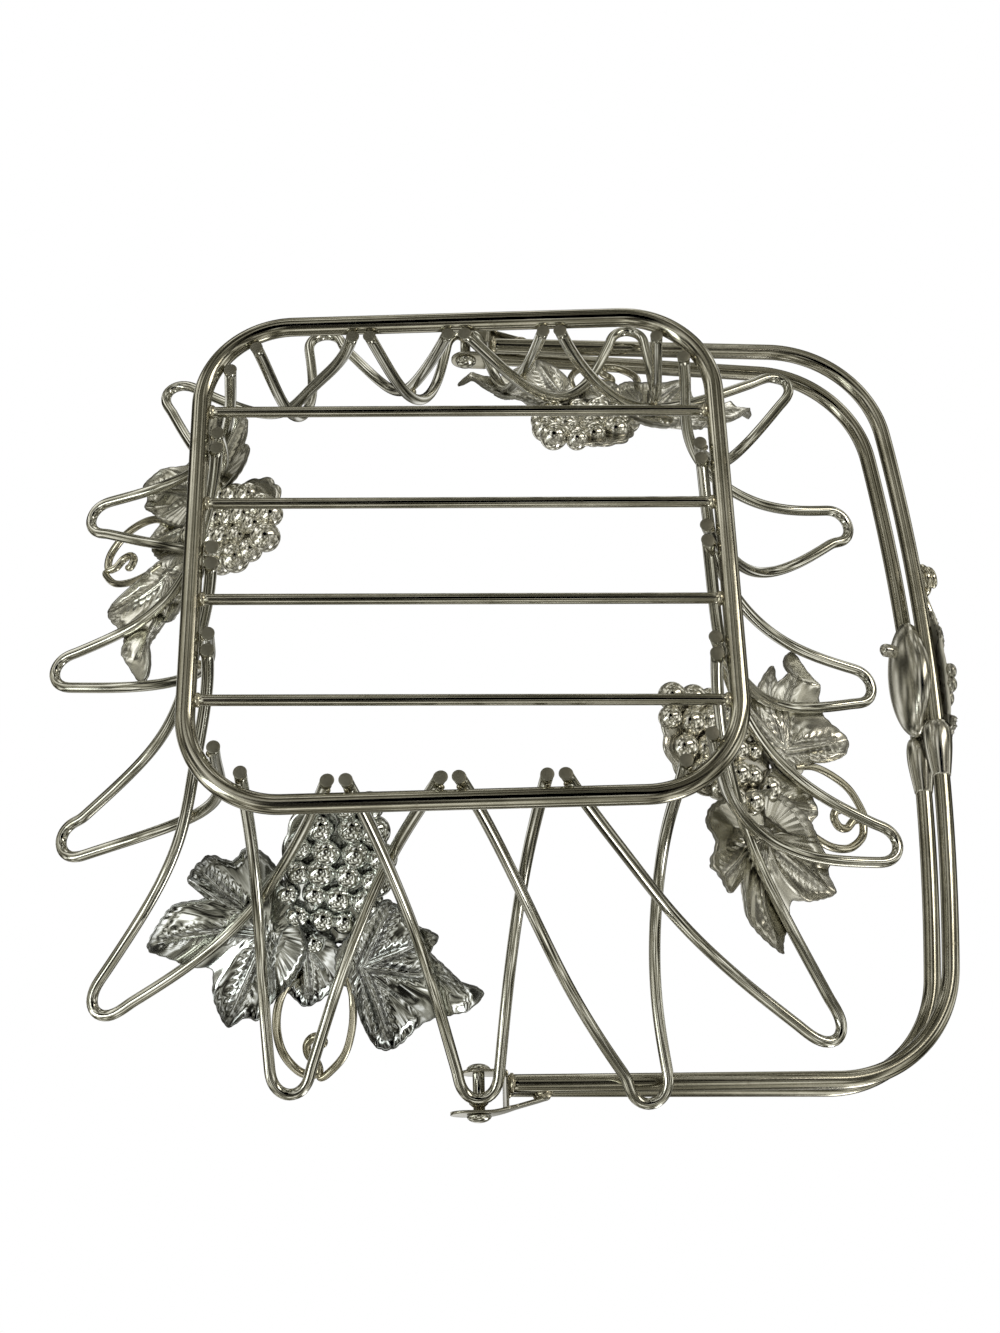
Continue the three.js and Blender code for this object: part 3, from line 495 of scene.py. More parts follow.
def sideways_share(t):
    """How far a leg has moved sideways, from its foot (0) to the start of the tip (1)."""
    def share(at):
        out, height = wall_curve(at)
        return (1 - SIDEWAYS_BY_HEIGHT) * out + SIDEWAYS_BY_HEIGHT * height / RIM_HEIGHT
    return (share(t) - share(0)) / (share(1 - tip_share) - share(0))


def leg_points(loop, hand, bulge, t):
    """One leg from its foot: sideways by its share, outward by the bell curve, and pushed off the wall by
    the bulge times a squared sine of the height."""
    foot = foot_point((loop["station"] + hand) % STATIONS, -hand)[0]
    out, height = wall_curve(t)
    slope = wall_slope(t)
    push = bulge * np.sin(math.pi * height / RIM_HEIGHT) ** 2
    bow = LEG_BOWS[loop["spot"]][0 if hand < 0 else 1] * np.sin(math.pi * t / (1 - tip_share))
    foot_side, foot_out = foot @ loop["sideways"], foot @ loop["outward"]
    tip_side = loop["centre"] + hand * TIP_HALF_WIDTH
    aside = foot_side + (tip_side - foot_side) * sideways_share(t) + bow
    reach = foot_out + (loop["reach"] - foot_out) * out + push * np.sin(slope)
    up = height - push * np.cos(slope)
    return aside[:, None] * loop["sideways"] + reach[:, None] * loop["outward"] + up[:, None] * UP


def nearest(leg_a, leg_b):
    """The nearest pair of points of two sampled legs."""
    gaps = length(leg_a[:, None] - leg_b)
    i, j = np.unravel_index(np.argmin(gaps), gaps.shape)
    return leg_a[i], leg_b[j]


loops = [loop_frame(station) for station in range(STATIONS)]
crossing_gap = 2 * wire_reach + TOUCH_GAP


def settled_bulges():
    """Each loop's -1 leg passes outside the leg that it crosses. Both give way alike, until the wires
    clear each other. Also gives each crossing's two points."""
    t = np.linspace(0.05, 0.95, 360)
    bulges = {}
    crossings = []
    for station, outer in enumerate(loops):
        inner = loops[station - 1]
        bulge = crossing_gap / 2
        for _ in range(SETTLING_ROUNDS):
            a, b = nearest(leg_points(outer, -1, bulge, t), leg_points(inner, 1, -bulge, t))
            facing = (a - b) @ (outer["outward"] + inner["outward"] - UP)
            bulge += (crossing_gap - np.sign(facing) * length(a - b)) / 2
        bulges[station, -1] = bulge
        bulges[(station - 1) % STATIONS, 1] = -bulge
        crossings.append((a, b))
    return bulges, crossings


bulges, crossings = settled_bulges()


def loop_path(loop):
    """A loop's centre line from foot to foot with its places on the wall curve, its corners rounded by
    averaging neighbours."""
    station = loop["station"]
    legs = np.linspace(0, 1 - tip_share, 90, endpoint=False)
    angle = np.linspace(0, math.pi, 19)
    at_tip = 1 - tip_share + tip_share * np.sin(angle)
    middle = leg_points(loop, -1, 0, at_tip)
    lateral = loop["centre"] - TIP_HALF_WIDTH * np.cos(angle)
    tip = middle + (lateral - middle @ loop["sideways"])[:, None] * loop["sideways"]
    left = leg_points(loop, -1, bulges[station, -1], legs)
    right = leg_points(loop, 1, bulges[station, 1], legs[::-1])
    points = np.vstack([left, tip, right])
    for _ in range(EASING_ROUNDS):
        points[1:-1] = (points[:-2] + 2 * points[1:-1] + points[2:]) / 4
    return points, np.concatenate([legs, at_tip, legs[::-1]])


paths = [loop_path(loop) for loop in loops]


# Materials


def node(tree, kind, inputs=None, **settings):
    """A new shader node. Each input is given a value, or the output of another node that feeds it."""
    made = tree.nodes.new(kind)
    for key, value in settings.items():
        setattr(made, key, value)
    for key, value in (inputs or {}).items():
        if isinstance(value, bpy.types.NodeSocket):
            tree.links.new(value, made.inputs[key])
        else:
            made.inputs[key].default_value = value
    return made


def maths(tree, operation, *values):
    inputs = dict(enumerate(values))
    return node(tree, "ShaderNodeMath", inputs, operation=operation).outputs["Value"]


def spread_over(tree, value, **limits):
    """A value spread from one range over another. Limits are named like From_Min."""
    inputs = {key.replace("_", " "): limit for key, limit in limits.items()}
    return node(tree, "ShaderNodeMapRange", {"Value": value, **inputs}).outputs["Result"]


def noise(tree, where, scale, detail, roughness):
    inputs = {"Vector": where, "Scale": scale, "Detail": detail, "Roughness": roughness}
    return node(tree, "ShaderNodeTexNoise", inputs).outputs["Fac"]


def ramp(tree, factor, first, *between, last):
    """A colour ramp. Each stop is a position and a colour."""
    made = node(tree, "ShaderNodeValToRGB", {"Fac": factor})
    elements = made.color_ramp.elements
    for element, (position, colour) in zip(elements, (first, last)):
        element.position = position
        element.color = (*colour, 1)
    for position, colour in between:
        elements.new(position).color = (*colour, 1)
    return made.outputs["Color"]


def new_look(name):
    """A material, its node tree and its shader."""
    look = bpy.data.materials.new(name)
    look.use_nodes = True
    return look, look.node_tree, look.node_tree.nodes["Principled BSDF"]


def silver(name, light, dark, tarnish_and_shade_colour, roughness, patches=45.0, streaks=0.06, grain=0.0, spotted=0.5):
    """Silver plate: its tone wanders between light and dark with a slow noise, spots are tarnished a warm
    dark colour, painted shade from the mesh takes the same colour, fine drawing lines run along the piece's
    UV, and grain roughens a casting."""
    look, tree, shader = new_look(name)
    shader.inputs["Metallic"].default_value = 1.0
    where = node(tree, "ShaderNodeTexCoord").outputs["Object"]
    slow = noise(tree, where, patches, 4.0, 0.6)
    tone = ramp(tree, slow, (0.36, dark), last=(0.64, light))
    spots = noise(tree, where, patches * 3.1, 6.0, 0.7)
    spotting = spread_over(tree, spots, From_Min=0.56, From_Max=0.78, To_Max=spotted)
    # Painted shade from the mesh, taken with the tarnished spots wherever either is stronger
    painted_shade = node(tree, "ShaderNodeAttribute", attribute_name="painted_shade").outputs["Fac"]
    tarnish_and_shade_share = maths(tree, "MAXIMUM", spotting, painted_shade)
    mixed = {"Factor": tarnish_and_shade_share, "A": tone, "B": (*tarnish_and_shade_colour, 1)}
    colour = node(tree, "ShaderNodeMix", data_type="RGBA", inputs=mixed).outputs["Result"]
    tree.links.new(colour, shader.inputs["Base Color"])
    uneven = spread_over(tree, spots, To_Min=roughness * 0.75, To_Max=roughness * 1.35)
    tree.links.new(maths(tree, "MULTIPLY_ADD", tarnish_and_shade_share, 0.22, uneven), shader.inputs["Roughness"])
    along = node(tree, "ShaderNodeUVMap", uv_map="along").outputs["UV"]
    stretched = node(tree, "ShaderNodeMapping", {"Vector": along, "Scale": (2600, 60, 1)}).outputs["Vector"]
    drawn = {"Height": noise(tree, stretched, 1.0, 3.0, 0.55), "Strength": streaks, "Distance": 0.00002}
    pitted = {"Height": noise(tree, where, 900.0, 4.0, 0.6), "Strength": grain, "Distance": 0.0001}
    pitted["Normal"] = node(tree, "ShaderNodeBump", drawn).outputs["Normal"]
    tree.links.new(node(tree, "ShaderNodeBump", pitted).outputs["Normal"], shader.inputs["Normal"])
    return look


CAST_LOOK = {"patches": 25, "streaks": 0.0}
WIRE = silver("wire_plate", (0.58, 0.57, 0.50), (0.40, 0.39, 0.33), (0.20, 0.17, 0.09), 0.12)
ROD = silver("rod_plate", (0.46, 0.44, 0.365), (0.30, 0.285, 0.225), (0.15, 0.125, 0.07), 0.14)
# One casting finish painted in two lights: bright and contrasty on the near ornament, dull and warm on the
# rest.
CAST_BRIGHT_LIT = silver(
    "bright_lit_cast", (0.78, 0.80, 0.78), (0.22, 0.225, 0.215), (0.02, 0.019, 0.016), 0.08,
    **CAST_LOOK, grain=0.03, spotted=0.15,
)
GRAPES_BRIGHT_LIT = silver(
    "bright_lit_grapes", (0.86, 0.88, 0.85), (0.52, 0.53, 0.50), (0.04, 0.038, 0.03), 0.05,
    **CAST_LOOK, spotted=0.1,
)
CAST_DULL_LIT = silver(
    "dull_lit_cast", (0.83, 0.815, 0.74), (0.52, 0.505, 0.435), (0.06, 0.055, 0.04), 0.2,
    **CAST_LOOK, grain=0.03, spotted=0.15,
)
GRAPES_DULL_LIT = silver(
    "dull_lit_grapes", (0.92, 0.90, 0.82), (0.68, 0.66, 0.58), (0.10, 0.09, 0.07), 0.16,
    **CAST_LOOK, spotted=0.1,
)
CREST = silver(
    "crest_plate", (0.60, 0.58, 0.51), (0.40, 0.385, 0.325), (0.07, 0.065, 0.05), 0.2,
    **CAST_LOOK, grain=0.03, spotted=0.2,
)
# The plate behind the crest is rough like a matte casting's back, and painted pale to light the strip the
# rods shade.
BACK_PAINTED_LIGHT = silver(
    "crest_back_painted_light", (0.92, 0.91, 0.84), (0.74, 0.73, 0.66), (0.30, 0.29, 0.24), 0.6,
    patches=60, streaks=0.0, grain=0.08, spotted=0.2,
)
CUT = silver(
    "cut_end", (0.25, 0.24, 0.195), (0.19, 0.18, 0.14), (0.10, 0.09, 0.06), 0.5,
    patches=120, streaks=0.0, grain=0.2,
)
TENDRIL = silver("tendril_plate", (0.60, 0.57, 0.46), (0.42, 0.39, 0.29), (0.22, 0.17, 0.08), 0.16)
SOLDER = silver(
    "solder", (0.62, 0.58, 0.45), (0.36, 0.33, 0.25), (0.24, 0.17, 0.07), 0.24,
    patches=160, streaks=0.0, grain=0.5,
)


# Base and wall


def base_ring():
    """A round rod round the rounded square, with a low weld bead where its two ends meet."""
    half = BASE_WIDTH / 2
    straight = half - BASE_CORNER_RADIUS
    along = np.concatenate([
        np.linspace(-straight, straight, 60, endpoint=False),
        straight + np.linspace(0, BASE_CORNER_RADIUS * math.pi / 2, 28, endpoint=False),
    ])
    points = np.vstack([rounded_square(half, BASE_CORNER_RADIUS, side, along)[0] for side in range(4)])
    points[:, 2] = RING_DIAMETER / 2
    from_seam = length(points - (half, SEAM_ALONG, RING_DIAMETER / 2))
    radii = RING_DIAMETER / 2 - SEAM_HEIGHT * (1 - np.exp(-(from_seam / SEAM_WIDTH) ** 2))
    piece("ring", tube(points, UP, radii, 32, closed=True), ROD, "basket", "base_ring")


def bar_aside(bar):
    return (bar - (BAR_COUNT - 1) / 2) * BAR_PITCH + BARS_ASIDE


def cross_bars():
    half = BASE_WIDTH / 2 - RING_DIAMETER / 2
    along = np.linspace(-1, 1, 60)[:, None] * np.array([half, half * math.tan(BAR_SKEW), 0])
    for bar in range(BAR_COUNT):
        shape = tube(along + np.array([0, bar_aside(bar), ring_height]), UP, BAR_DIAMETER / 2)
        piece(f"bar_{bar + 1}", shape, ROD, "basket", f"cross_bar_{bar + 1}")


def wire_loops():
    for loop, (points, t) in zip(loops, paths):
        slope = wall_slope(t)[:, None]
        hints = UP * np.cos(slope) - loop["outward"] * np.sin(slope)
        shape = tube(points, hints, WIRE_DIAMETER / 2, level_ends=True)
        number = f"{loop['station'] + 1:02d}"
        piece(f"loop_{number}", shape, WIRE, "basket", f"wire_loop_{number}")


def base_solder():
    """Small stretched balls of solder, one at each foot of the loops and one at each bar's end."""
    beads = []
    rng = np.random.default_rng(5)
    for station in range(STATIONS):
        for slot in (-1, 1):
            foot, facing = foot_point(station, slot)
            centre = foot + facing * (WIRE_DIAMETER / 2 + 0.1) + UP * FOOT_BEAD_HEIGHT
            radii = rng.uniform((0.7, 1.0, 0.8), (1.0, 1.6, 1.2))
            beads.append(ellipsoid(centre, axes_along(facing, UP), radii))
    for bar in range(BAR_COUNT):
        for hand in (-1, 1):
            reach = hand * (BASE_WIDTH / 2 - RING_DIAMETER / 2 - 0.5)
            aside = bar_aside(bar) + hand * BASE_WIDTH / 2 * math.tan(BAR_SKEW)
            centre = np.array([reach, aside, ring_height])
            beads.append(ellipsoid(centre, axes_along(ACROSS, UP), (1.5, 2.2, 2.4)))
    piece("foot_solder", joined(beads), SOLDER, "basket")


def cut_ends():
    """A thin cap for the cut end of each wire's feet, an oval because the wire leans."""
    ends = []
    reach = WIRE_DIAMETER / 2 + 0.15
    for points, _ in paths:
        for end, after in ((points[0], points[2]), (points[-1], points[-3])):
            along = unit(after - end)
            radii = (min(reach / along[2], LONGEST_CUT), 0.3, reach)
            centre = np.array([end[0], end[1], FOOT_HEIGHT])
            ends.append(ellipsoid(centre, axes_along(along * (1, 1, 0), UP), radii, 9, 24))
    piece("foot_faces", joined(ends), CUT, "basket")


def crossing_solder():
    spots = [ellipsoid((a + b) / 2, axes_along(a - b, UP), (1.5, 2.4, 1.5)) for a, b in crossings]
    piece("crossing_solder", joined(spots), SOLDER, "basket")


# Vine castings


def closed_curve(points, count):
    """A closed Catmull-Rom curve through points."""
    wrapped = np.vstack([points[-2:], points, points[:3]])
    per_point = count // len(points)
    return spline(wrapped, (len(wrapped) - 1) * per_point + 1)[2 * per_point:-2 * per_point - 1]


def casting(side):
    """One wall's casting: a function from places on its plane and heights off it to points, and one for
    the least height at which a sheet clears the wires."""
    across = turned(ACROSS, CASTING_TURN)
    level = turned(ALONG, CASTING_TURN)
    upward = level * math.cos(CASTING_SLOPE) + UP * math.sin(CASTING_SLOPE)
    directions = np.stack([across, upward, np.cross(across, upward)])
    wires = np.vstack([turned(points, side * math.pi / 2) for points, _ in paths])
    local = (wires - CASTING_PLACE) @ directions.T
    beside = (np.abs(local[:, :2]) < WIRES_BESIDE).all(1)
    local = local[beside & (np.abs(local[:, 2]) < WIRES_OFF_PLANE)]

    def put(u, v, h):
        return turned(CASTING_PLACE + np.stack([u, v, h], axis=-1) @ directions, -side * math.pi / 2)

    def clear(u, v):
        gaps = (u.ravel()[:, None] - local[:, 0]) ** 2 + (v.ravel()[:, None] - local[:, 1]) ** 2
        return (local[:, 2] + WIRE_DIAMETER / 2 - gaps / (2 * DRAPE_RADIUS)).max(1).reshape(u.shape)

    return put, clear


def draped(height, least):
    """The greater of two heights, with a soft bend where they meet."""
    return least + DRAPE_SOFTNESS * np.logaddexp(0, (height - least) / DRAPE_SOFTNESS)


def hump(values, middle, width):
    """A smooth bell that is 1 at the middle."""
    return np.exp(-((values - middle) / width) ** 2)


def toothed_edge(outline, angle):
    """How far a leaf's edge lies from its heart at each angle: its outline with fine teeth."""
    curve = closed_curve(outline, 600)
    curve_angle = np.arctan2(curve[:, 1], curve[:, 0])
    order = np.argsort(curve_angle)
    edge = np.interp(angle, curve_angle[order], np.hypot(*curve[order].T), period=2 * math.pi)
    steps = np.hypot(edge * 2 * math.pi / len(angle), np.gradient(edge))
    tooth = (np.cumsum(steps) / TOOTH_PITCH) % 1
    return edge + TOOTH_DEPTH * (0.5 - np.abs(tooth - 0.62))


def leaf_veins(reach, off_axis, share, spacing):
    """The height of a leaf's ribs and the depth of the grooves beside them, each 0 at the leaf's edge: a
    beaded double rib along each vein, and short slanting ribs on both sides of it."""
    along = reach * np.cos(np.minimum(off_axis, 1.5))
    aside = reach * np.sin(np.minimum(off_axis, 1.5))
    fade = np.clip((1 - share) / 0.12, 0, 1) * np.clip(share / 0.08, 0, 1)
    width = 0.75 * (1 - 0.6 * share)
    rib = hump(aside, width, 0.36) * (0.85 + 0.15 * np.cos(along * 4.2))
    phase = (along - 0.85 * aside) / spacing
    near_vein = np.clip(aside / 1.6, 0, 1) * np.clip((SIDE_RIB_REACH - aside) / 2.6, 0, 1)
    side_rib = hump(phase % 1, 0.5, 0.16) * near_vein
    groove = hump(aside, width + 1.1, 0.6) + 0.8 * hump(aside, 0, 0.25)
    return fade * (RIB_HEIGHT * rib + SIDE_RIB_HEIGHT * side_rib), fade * groove


def vine_leaf(outline, veins, heart, level, place_sheet, thickness=1.3, crown=3.0, spacing=3.3):
    """A leaf as a closed shell over rings round its heart, where its veins meet. The outline and the vein
    ends are places from the heart. The sheet bows up to a crown, folds into pads between the veins, and
    turns down at its toothed edge."""
    rings = 46
    angle = full_turn(320) - math.pi
    vein_angle = np.sort(np.arctan2(*np.transpose(veins)[::-1]))
    off_axis = np.abs((angle[:, None] - vein_angle + math.pi) % (2 * math.pi) - math.pi).min(1)
    share = (np.arange(1, rings + 1) / rings)[:, None] ** 0.92
    reach = toothed_edge(outline, angle) * share
    relief, groove = leaf_veins(reach, off_axis, share, spacing)
    folds = np.sin(math.pi * np.clip(off_axis / PAD_SPREAD, 0, 1)) ** 1.2
    pads = PAD_HEIGHT * folds * np.clip(reach / 14, 0, 1) * (1 - 0.55 * share ** 2)
    turned_down = EDGE_DROP * np.clip((share - 0.86) / 0.14, 0, 1) ** 2
    wave = EDGE_WAVE * share ** 2 * np.sin(4 * angle + 0.7)
    middle = level + crown * (1 - share ** 2) + pads - turned_down - GROOVE_DEPTH * groove + wave
    # Painted shade: darker in the grooves by the veins, at the turned-down rim and where the sheet has no
    # pad, lighter on the ribs
    shade = 0.8 * groove * np.clip(1.4 - share, 0, 1) - 0.5 * relief
    shade = np.clip(shade + 0.5 * np.clip((share - 0.95) / 0.05, 0, 1) + 0.25 * (1 - folds) * share, 0, 0.9)
    u, v = heart[0] + reach * np.cos(angle), heart[1] + reach * np.sin(angle)
    return shell(u, v, middle, relief, (*heart, level + crown), thickness, shade, place_sheet)


def shell(u, v, middle, relief, centre, thickness, shade, place_sheet):
    """A sheet's two faces and its rim as one closed shape, from rings of places and its centre."""
    upper, lower, rim = place_sheet(u, v, middle, thickness, relief)
    top, bottom, _ = place_sheet(*(np.full((1, 1), x) for x in centre), thickness, 0)
    values = np.concatenate([shade, shade[-1:], shade[::-1]])
    return skin(np.concatenate([upper, rim, lower[::-1]]), top[0], bottom[0], values=values)


def sheet_placer(put, clear):
    """Gives a function that lays a sheet's middle on the wires where it would cut them, and returns its
    upper and lower faces and its outermost ring."""
    def place_sheet(u, v, middle, thickness, relief):
        middle = draped(middle, clear(u, v) + thickness / 2)
        upper = put(u, v, middle + thickness / 2 + relief)
        lower = put(u, v, middle - thickness / 2 - 0.8 * relief)
        return upper, lower, put(u[-1:] * 1.004, v[-1:] * 1.004, middle[-1:])
    return place_sheet


def grape_cluster(rows, row_step, grape_step, first_row, sizes, bulge, place_ball, seed, lean=0, aside=0):
    """Grapes in rows, each a ball of its own size nudged off its regular place, with a band of painted
    shade round its middle, where it meets its neighbours."""
    rng = np.random.default_rng(seed)
    grapes = []
    for row, count in enumerate(rows):
        for i in range(count):
            spot = i - (count - 1) / 2
            across = aside + spot * grape_step + lean * row + rng.uniform(-1.1, 1.1)
            up = first_row - row * row_step + rng.uniform(-0.9, 0.9)
            size = rng.uniform(*sizes)
            ball = ellipsoid(np.zeros(3), np.eye(3), (size, size, size), 15, 26)
            # Painted shade in a band round each grape's middle, where the grapes meet
            low = np.abs(ball["points"][:, 2]) / size
            ball["values"] = np.clip(1 - low / 0.3, 0, 1) * 0.55
            height = bulge * (1 - (2 * spot / len(rows)) ** 2)
            grapes.append(moved(ball, lambda points: place_ball(points, across, up, size, height)))
    return joined(grapes)


def backing_plate(half_across, half_up, middle, level, place_sheet):
    """The thin bowed plate that carries the grapes, its edge scalloped round them."""
    angle = full_turn(120)
    share = np.linspace(0, 1, 13)[1:, None]
    edge = share * (1 + 0.06 * np.abs(np.sin(7 * angle)))
    u = middle[0] + half_across * edge * np.cos(angle) * (1 - 0.22 * np.sin(angle))
    v = middle[1] + half_up * edge * np.sin(angle)
    bowed = level + PLATE_BOW * (1 - share ** 2) + 0 * angle
    centre = (*middle, level + PLATE_BOW)
    # A fixed share of the same darkening, evenly over the whole plate
    return shell(u, v, bowed, 0, centre, PLATE_THICKNESS, np.full(u.shape, 0.35), place_sheet)


def vine_ornament(side):
    """One wall's casting: a corner leaf, a middle leaf and a small centre leaf, a bunch of grapes on its
    plate, and a tendril."""
    tag = side + 1
    put, clear = casting(side)
    place_sheet = sheet_placer(put, clear)
    # The near wall's casting is painted in bright light, the other three in dull light
    leaf_look, grape_look = (CAST_BRIGHT_LIT, GRAPES_BRIGHT_LIT) if tag == 1 else (CAST_DULL_LIT, GRAPES_DULL_LIT)
    corner = vine_leaf(CORNER_OUTLINE, CORNER_VEINS, (-20, -8), LEAF_LEVEL, place_sheet)
    piece(f"leaf_corner_{tag}_carved", corner, leaf_look, "basket", f"leaf_corner_{tag}")
    middle = vine_leaf(MIDDLE_OUTLINE, MIDDLE_VEINS, (14, -1), LEAF_LEVEL, place_sheet)
    piece(f"leaf_middle_{tag}_carved", middle, leaf_look, "basket", f"leaf_middle_{tag}")
    centre = vine_leaf(
        CENTRE_OUTLINE, CENTRE_VEINS, (-8, -9), CENTRE_LEAF_LEVEL, place_sheet, crown=1.5, spacing=2.6
    )
    piece(f"leaf_centre_{tag}", centre, leaf_look, "basket")

    def place_ball(points, across, up, size, height):
        wires = clear(np.array([[across]]), np.array([[up]]))[0, 0]
        level = max(GRAPE_LEVEL + height, wires + size * 0.75)
        return put(points[:, 0] + across, points[:, 1] + up, points[:, 2] + level)

    grapes = grape_cluster(
        GRAPE_ROWS, ROW_STEP, GRAPE_STEP, FIRST_ROW, GRAPE_SIZES, 1.2, place_ball, tag,
        BUNCH_LEAN, BUNCH_ASIDE,
    )
    plate = backing_plate(17, 27, (2, -35), 4.6, place_sheet)
    piece(f"grapes_{tag}", joined([grapes, plate]), grape_look, "basket", f"grape_bunch_{tag}")
    stems = [tendril(put, clear, spline(*stem), thick) for *stem, thick in TENDRIL_STEMS]
    piece(f"curls_{tag}", joined(stems), TENDRIL, "basket", f"tendril_{tag}")


def tendril(put, clear, route, thick):
    """A round stem along a route on the casting's plane, lifted where the wires are in its way."""
    u, v, h = route.T
    points = put(u, v, np.maximum(h, clear(u, v) + thick))
    off_plane = put(*np.zeros((3, 1)))[0] - put(0.0, 0.0, 1.0)
    return tube(points, off_plane, round_end(points, thick, 2.5), 14, bevel=0)


# Handle

rest_contact = TIP_PITCH - TIP_HALF_WIDTH


def rod_half_spacing(reach):
    share = (reach - BRACKET_LENGTH) / (handle_reach - BRACKET_LENGTH)
    return (SPACING_AT_BRACKET + (SPACING_AT_BOW - SPACING_AT_BRACKET) * share) / 2


contact_height = RIM_HEIGHT + wire_reach + TOUCH_GAP + rod_reach + rod_half_spacing(rest_contact)
handle_tilt = math.asin((contact_height - pivot_height) / rest_contact)


def on_handle(points):
    """Points of the handle's own frame, its pivot axis along Y, laid back on the folded handle."""
    cos, sin = math.cos(handle_tilt), math.sin(handle_tilt)
    x, y, z = np.moveaxis(points, -1, 0)
    return np.stack([x * cos - z * sin, y, x * sin + z * cos + pivot_height], axis=-1)


def bow_reach(along):
    return handle_reach - HANDLE_BOW_RADIUS + np.sqrt(HANDLE_BOW_RADIUS ** 2 - along ** 2)


def rod_path(level):
    """One handle rod: two arms, two round corners and a flat arc for the bow."""
    inset = handle_half_width - HANDLE_CORNER_RADIUS
    bow_angle = math.asin(inset / (HANDLE_BOW_RADIUS - HANDLE_CORNER_RADIUS))
    bow_half = HANDLE_BOW_RADIUS * math.sin(bow_angle)
    middle = (HANDLE_BOW_RADIUS - HANDLE_CORNER_RADIUS) * math.cos(bow_angle)
    corner_reach = handle_reach - HANDLE_BOW_RADIUS + middle
    arm = np.linspace(BRACKET_LENGTH + TOUCH_GAP, corner_reach, 40, endpoint=False)
    angle = np.linspace(0, math.pi / 2 - bow_angle, 36, endpoint=False)
    reach = np.concatenate([arm, corner_reach + HANDLE_CORNER_RADIUS * np.sin(angle)])
    aside = np.concatenate([0 * arm + handle_half_width, inset + HANDLE_CORNER_RADIUS * np.cos(angle)])
    along = np.linspace(-bow_half, bow_half, 80)
    reach = np.concatenate([reach, bow_reach(along), reach[::-1]])
    aside = np.concatenate([-aside, along, aside[::-1]])
    return np.stack([reach, aside, level * rod_half_spacing(reach)], -1)


def handle_rods():
    for name, level in (("lower", -1), ("upper", 1)):
        shape = tube(rod_path(level), UP, ROD_DIAMETER / 2, 28)
        piece(f"rod_{name}", moved(shape, on_handle), ROD, "handle", f"handle_rod_{name}")


def strip(path, half_heights, thickness):
    """A sheet strip standing on Z, bent along a path in plan: its section is a flat slab with round edges,
    as high as half_heights says at each point."""
    path = np.column_stack([path, np.zeros(len(path))])
    normals = np.cross(unit(np.gradient(path, axis=0)), UP)
    angle = full_turn(24)
    flat = np.sign(np.cos(angle)) * np.abs(np.cos(angle)) ** 0.35 * thickness / 2
    high = np.sign(np.sin(angle)) * np.abs(np.sin(angle)) ** 0.7 * half_heights[:, None]
    rings = path[:, None] + normals[:, None] * flat[:, None] + UP * high[..., None]
    return skin(rings, path[:1], path[-1:])


def rounded_corners(points, radius, count):
    """A bent line through corner points, its corners eased by averaging over the radius."""
    points = np.asarray(points, float)
    reach = travelled(points)
    at = np.linspace(0, reach[-1], count)
    line = np.stack([np.interp(at, reach, points[:, k]) for k in range(2)], -1)
    for _ in range(int((radius / (at[1] - at[0])) ** 2)):
        line[1:-1] = (line[:-2] + 2 * line[1:-1] + line[2:]) / 4
    return line


def bracket(hand, suffix):
    """A bracket bent from sheet: an inner cheek, a web and an outer cheek, and a tail to the rods, with
    solder along the tail and the web."""
    inner = bracket_middle - BRACKET_INSIDE / 2 - BRACKET_SHEET / 2
    outer = bracket_middle + BRACKET_INSIDE / 2 + BRACKET_SHEET / 2
    web = BRACKET_LENGTH - BRACKET_SHEET / 2
    eye = BRACKET_HEIGHT / 2
    start = -eye - BRACKET_OVERHANG
    tail_inside = handle_half_width + rod_reach + TOUCH_GAP + BRACKET_SHEET / 2
    tail_end = BRACKET_LENGTH + BRACKET_TAIL
    cheek_line = rounded_corners([(-eye, inner), (web, inner), (web, outer - BRACKET_SHEET)], 1.2, 80)
    from_end = length(cheek_line - cheek_line[0])
    cheek = strip(cheek_line, eye * eased(from_end / eye) + 0.05, BRACKET_SHEET)
    bends = [(start, outer), (BRACKET_LENGTH / 2, outer), (tail_end, tail_inside)]
    tail_line = rounded_corners(bends, 3.0, 90)
    reach = tail_line[:, 0]
    narrowed = 1 - 0.3 * np.clip((reach - BRACKET_LENGTH) / 3, 0, 1)
    ends = eased(np.minimum((reach - start) / eye, (tail_end - reach) / 3))
    tail = strip(tail_line, eye * ends * narrowed + 0.05, BRACKET_SHEET)
    blobs = []
    for level in (-1, 1):
        height = level * rod_half_spacing(tail_end)
        at_tail = np.array([tail_end - 1.5, tail_inside - 1.0, height * 0.8])
        blobs.append(ellipsoid(at_tail, np.eye(3), (3.2, 1.7, 2.2)))
        at_web = np.array([BRACKET_LENGTH + 1, handle_half_width, height])
        blobs.append(ellipsoid(at_web, np.eye(3), (1.6, 3.7, 3.7)))

    def put(points):
        return on_handle(points * (1, hand, 1))

    sheet = moved(joined([cheek, tail]), put)
    piece(f"bracket_{suffix}_sheet", sheet, ROD, "handle", f"bracket_{suffix}")
    piece(f"bracket_{suffix}_solder", moved(joined(blobs), put), SOLDER, "handle")


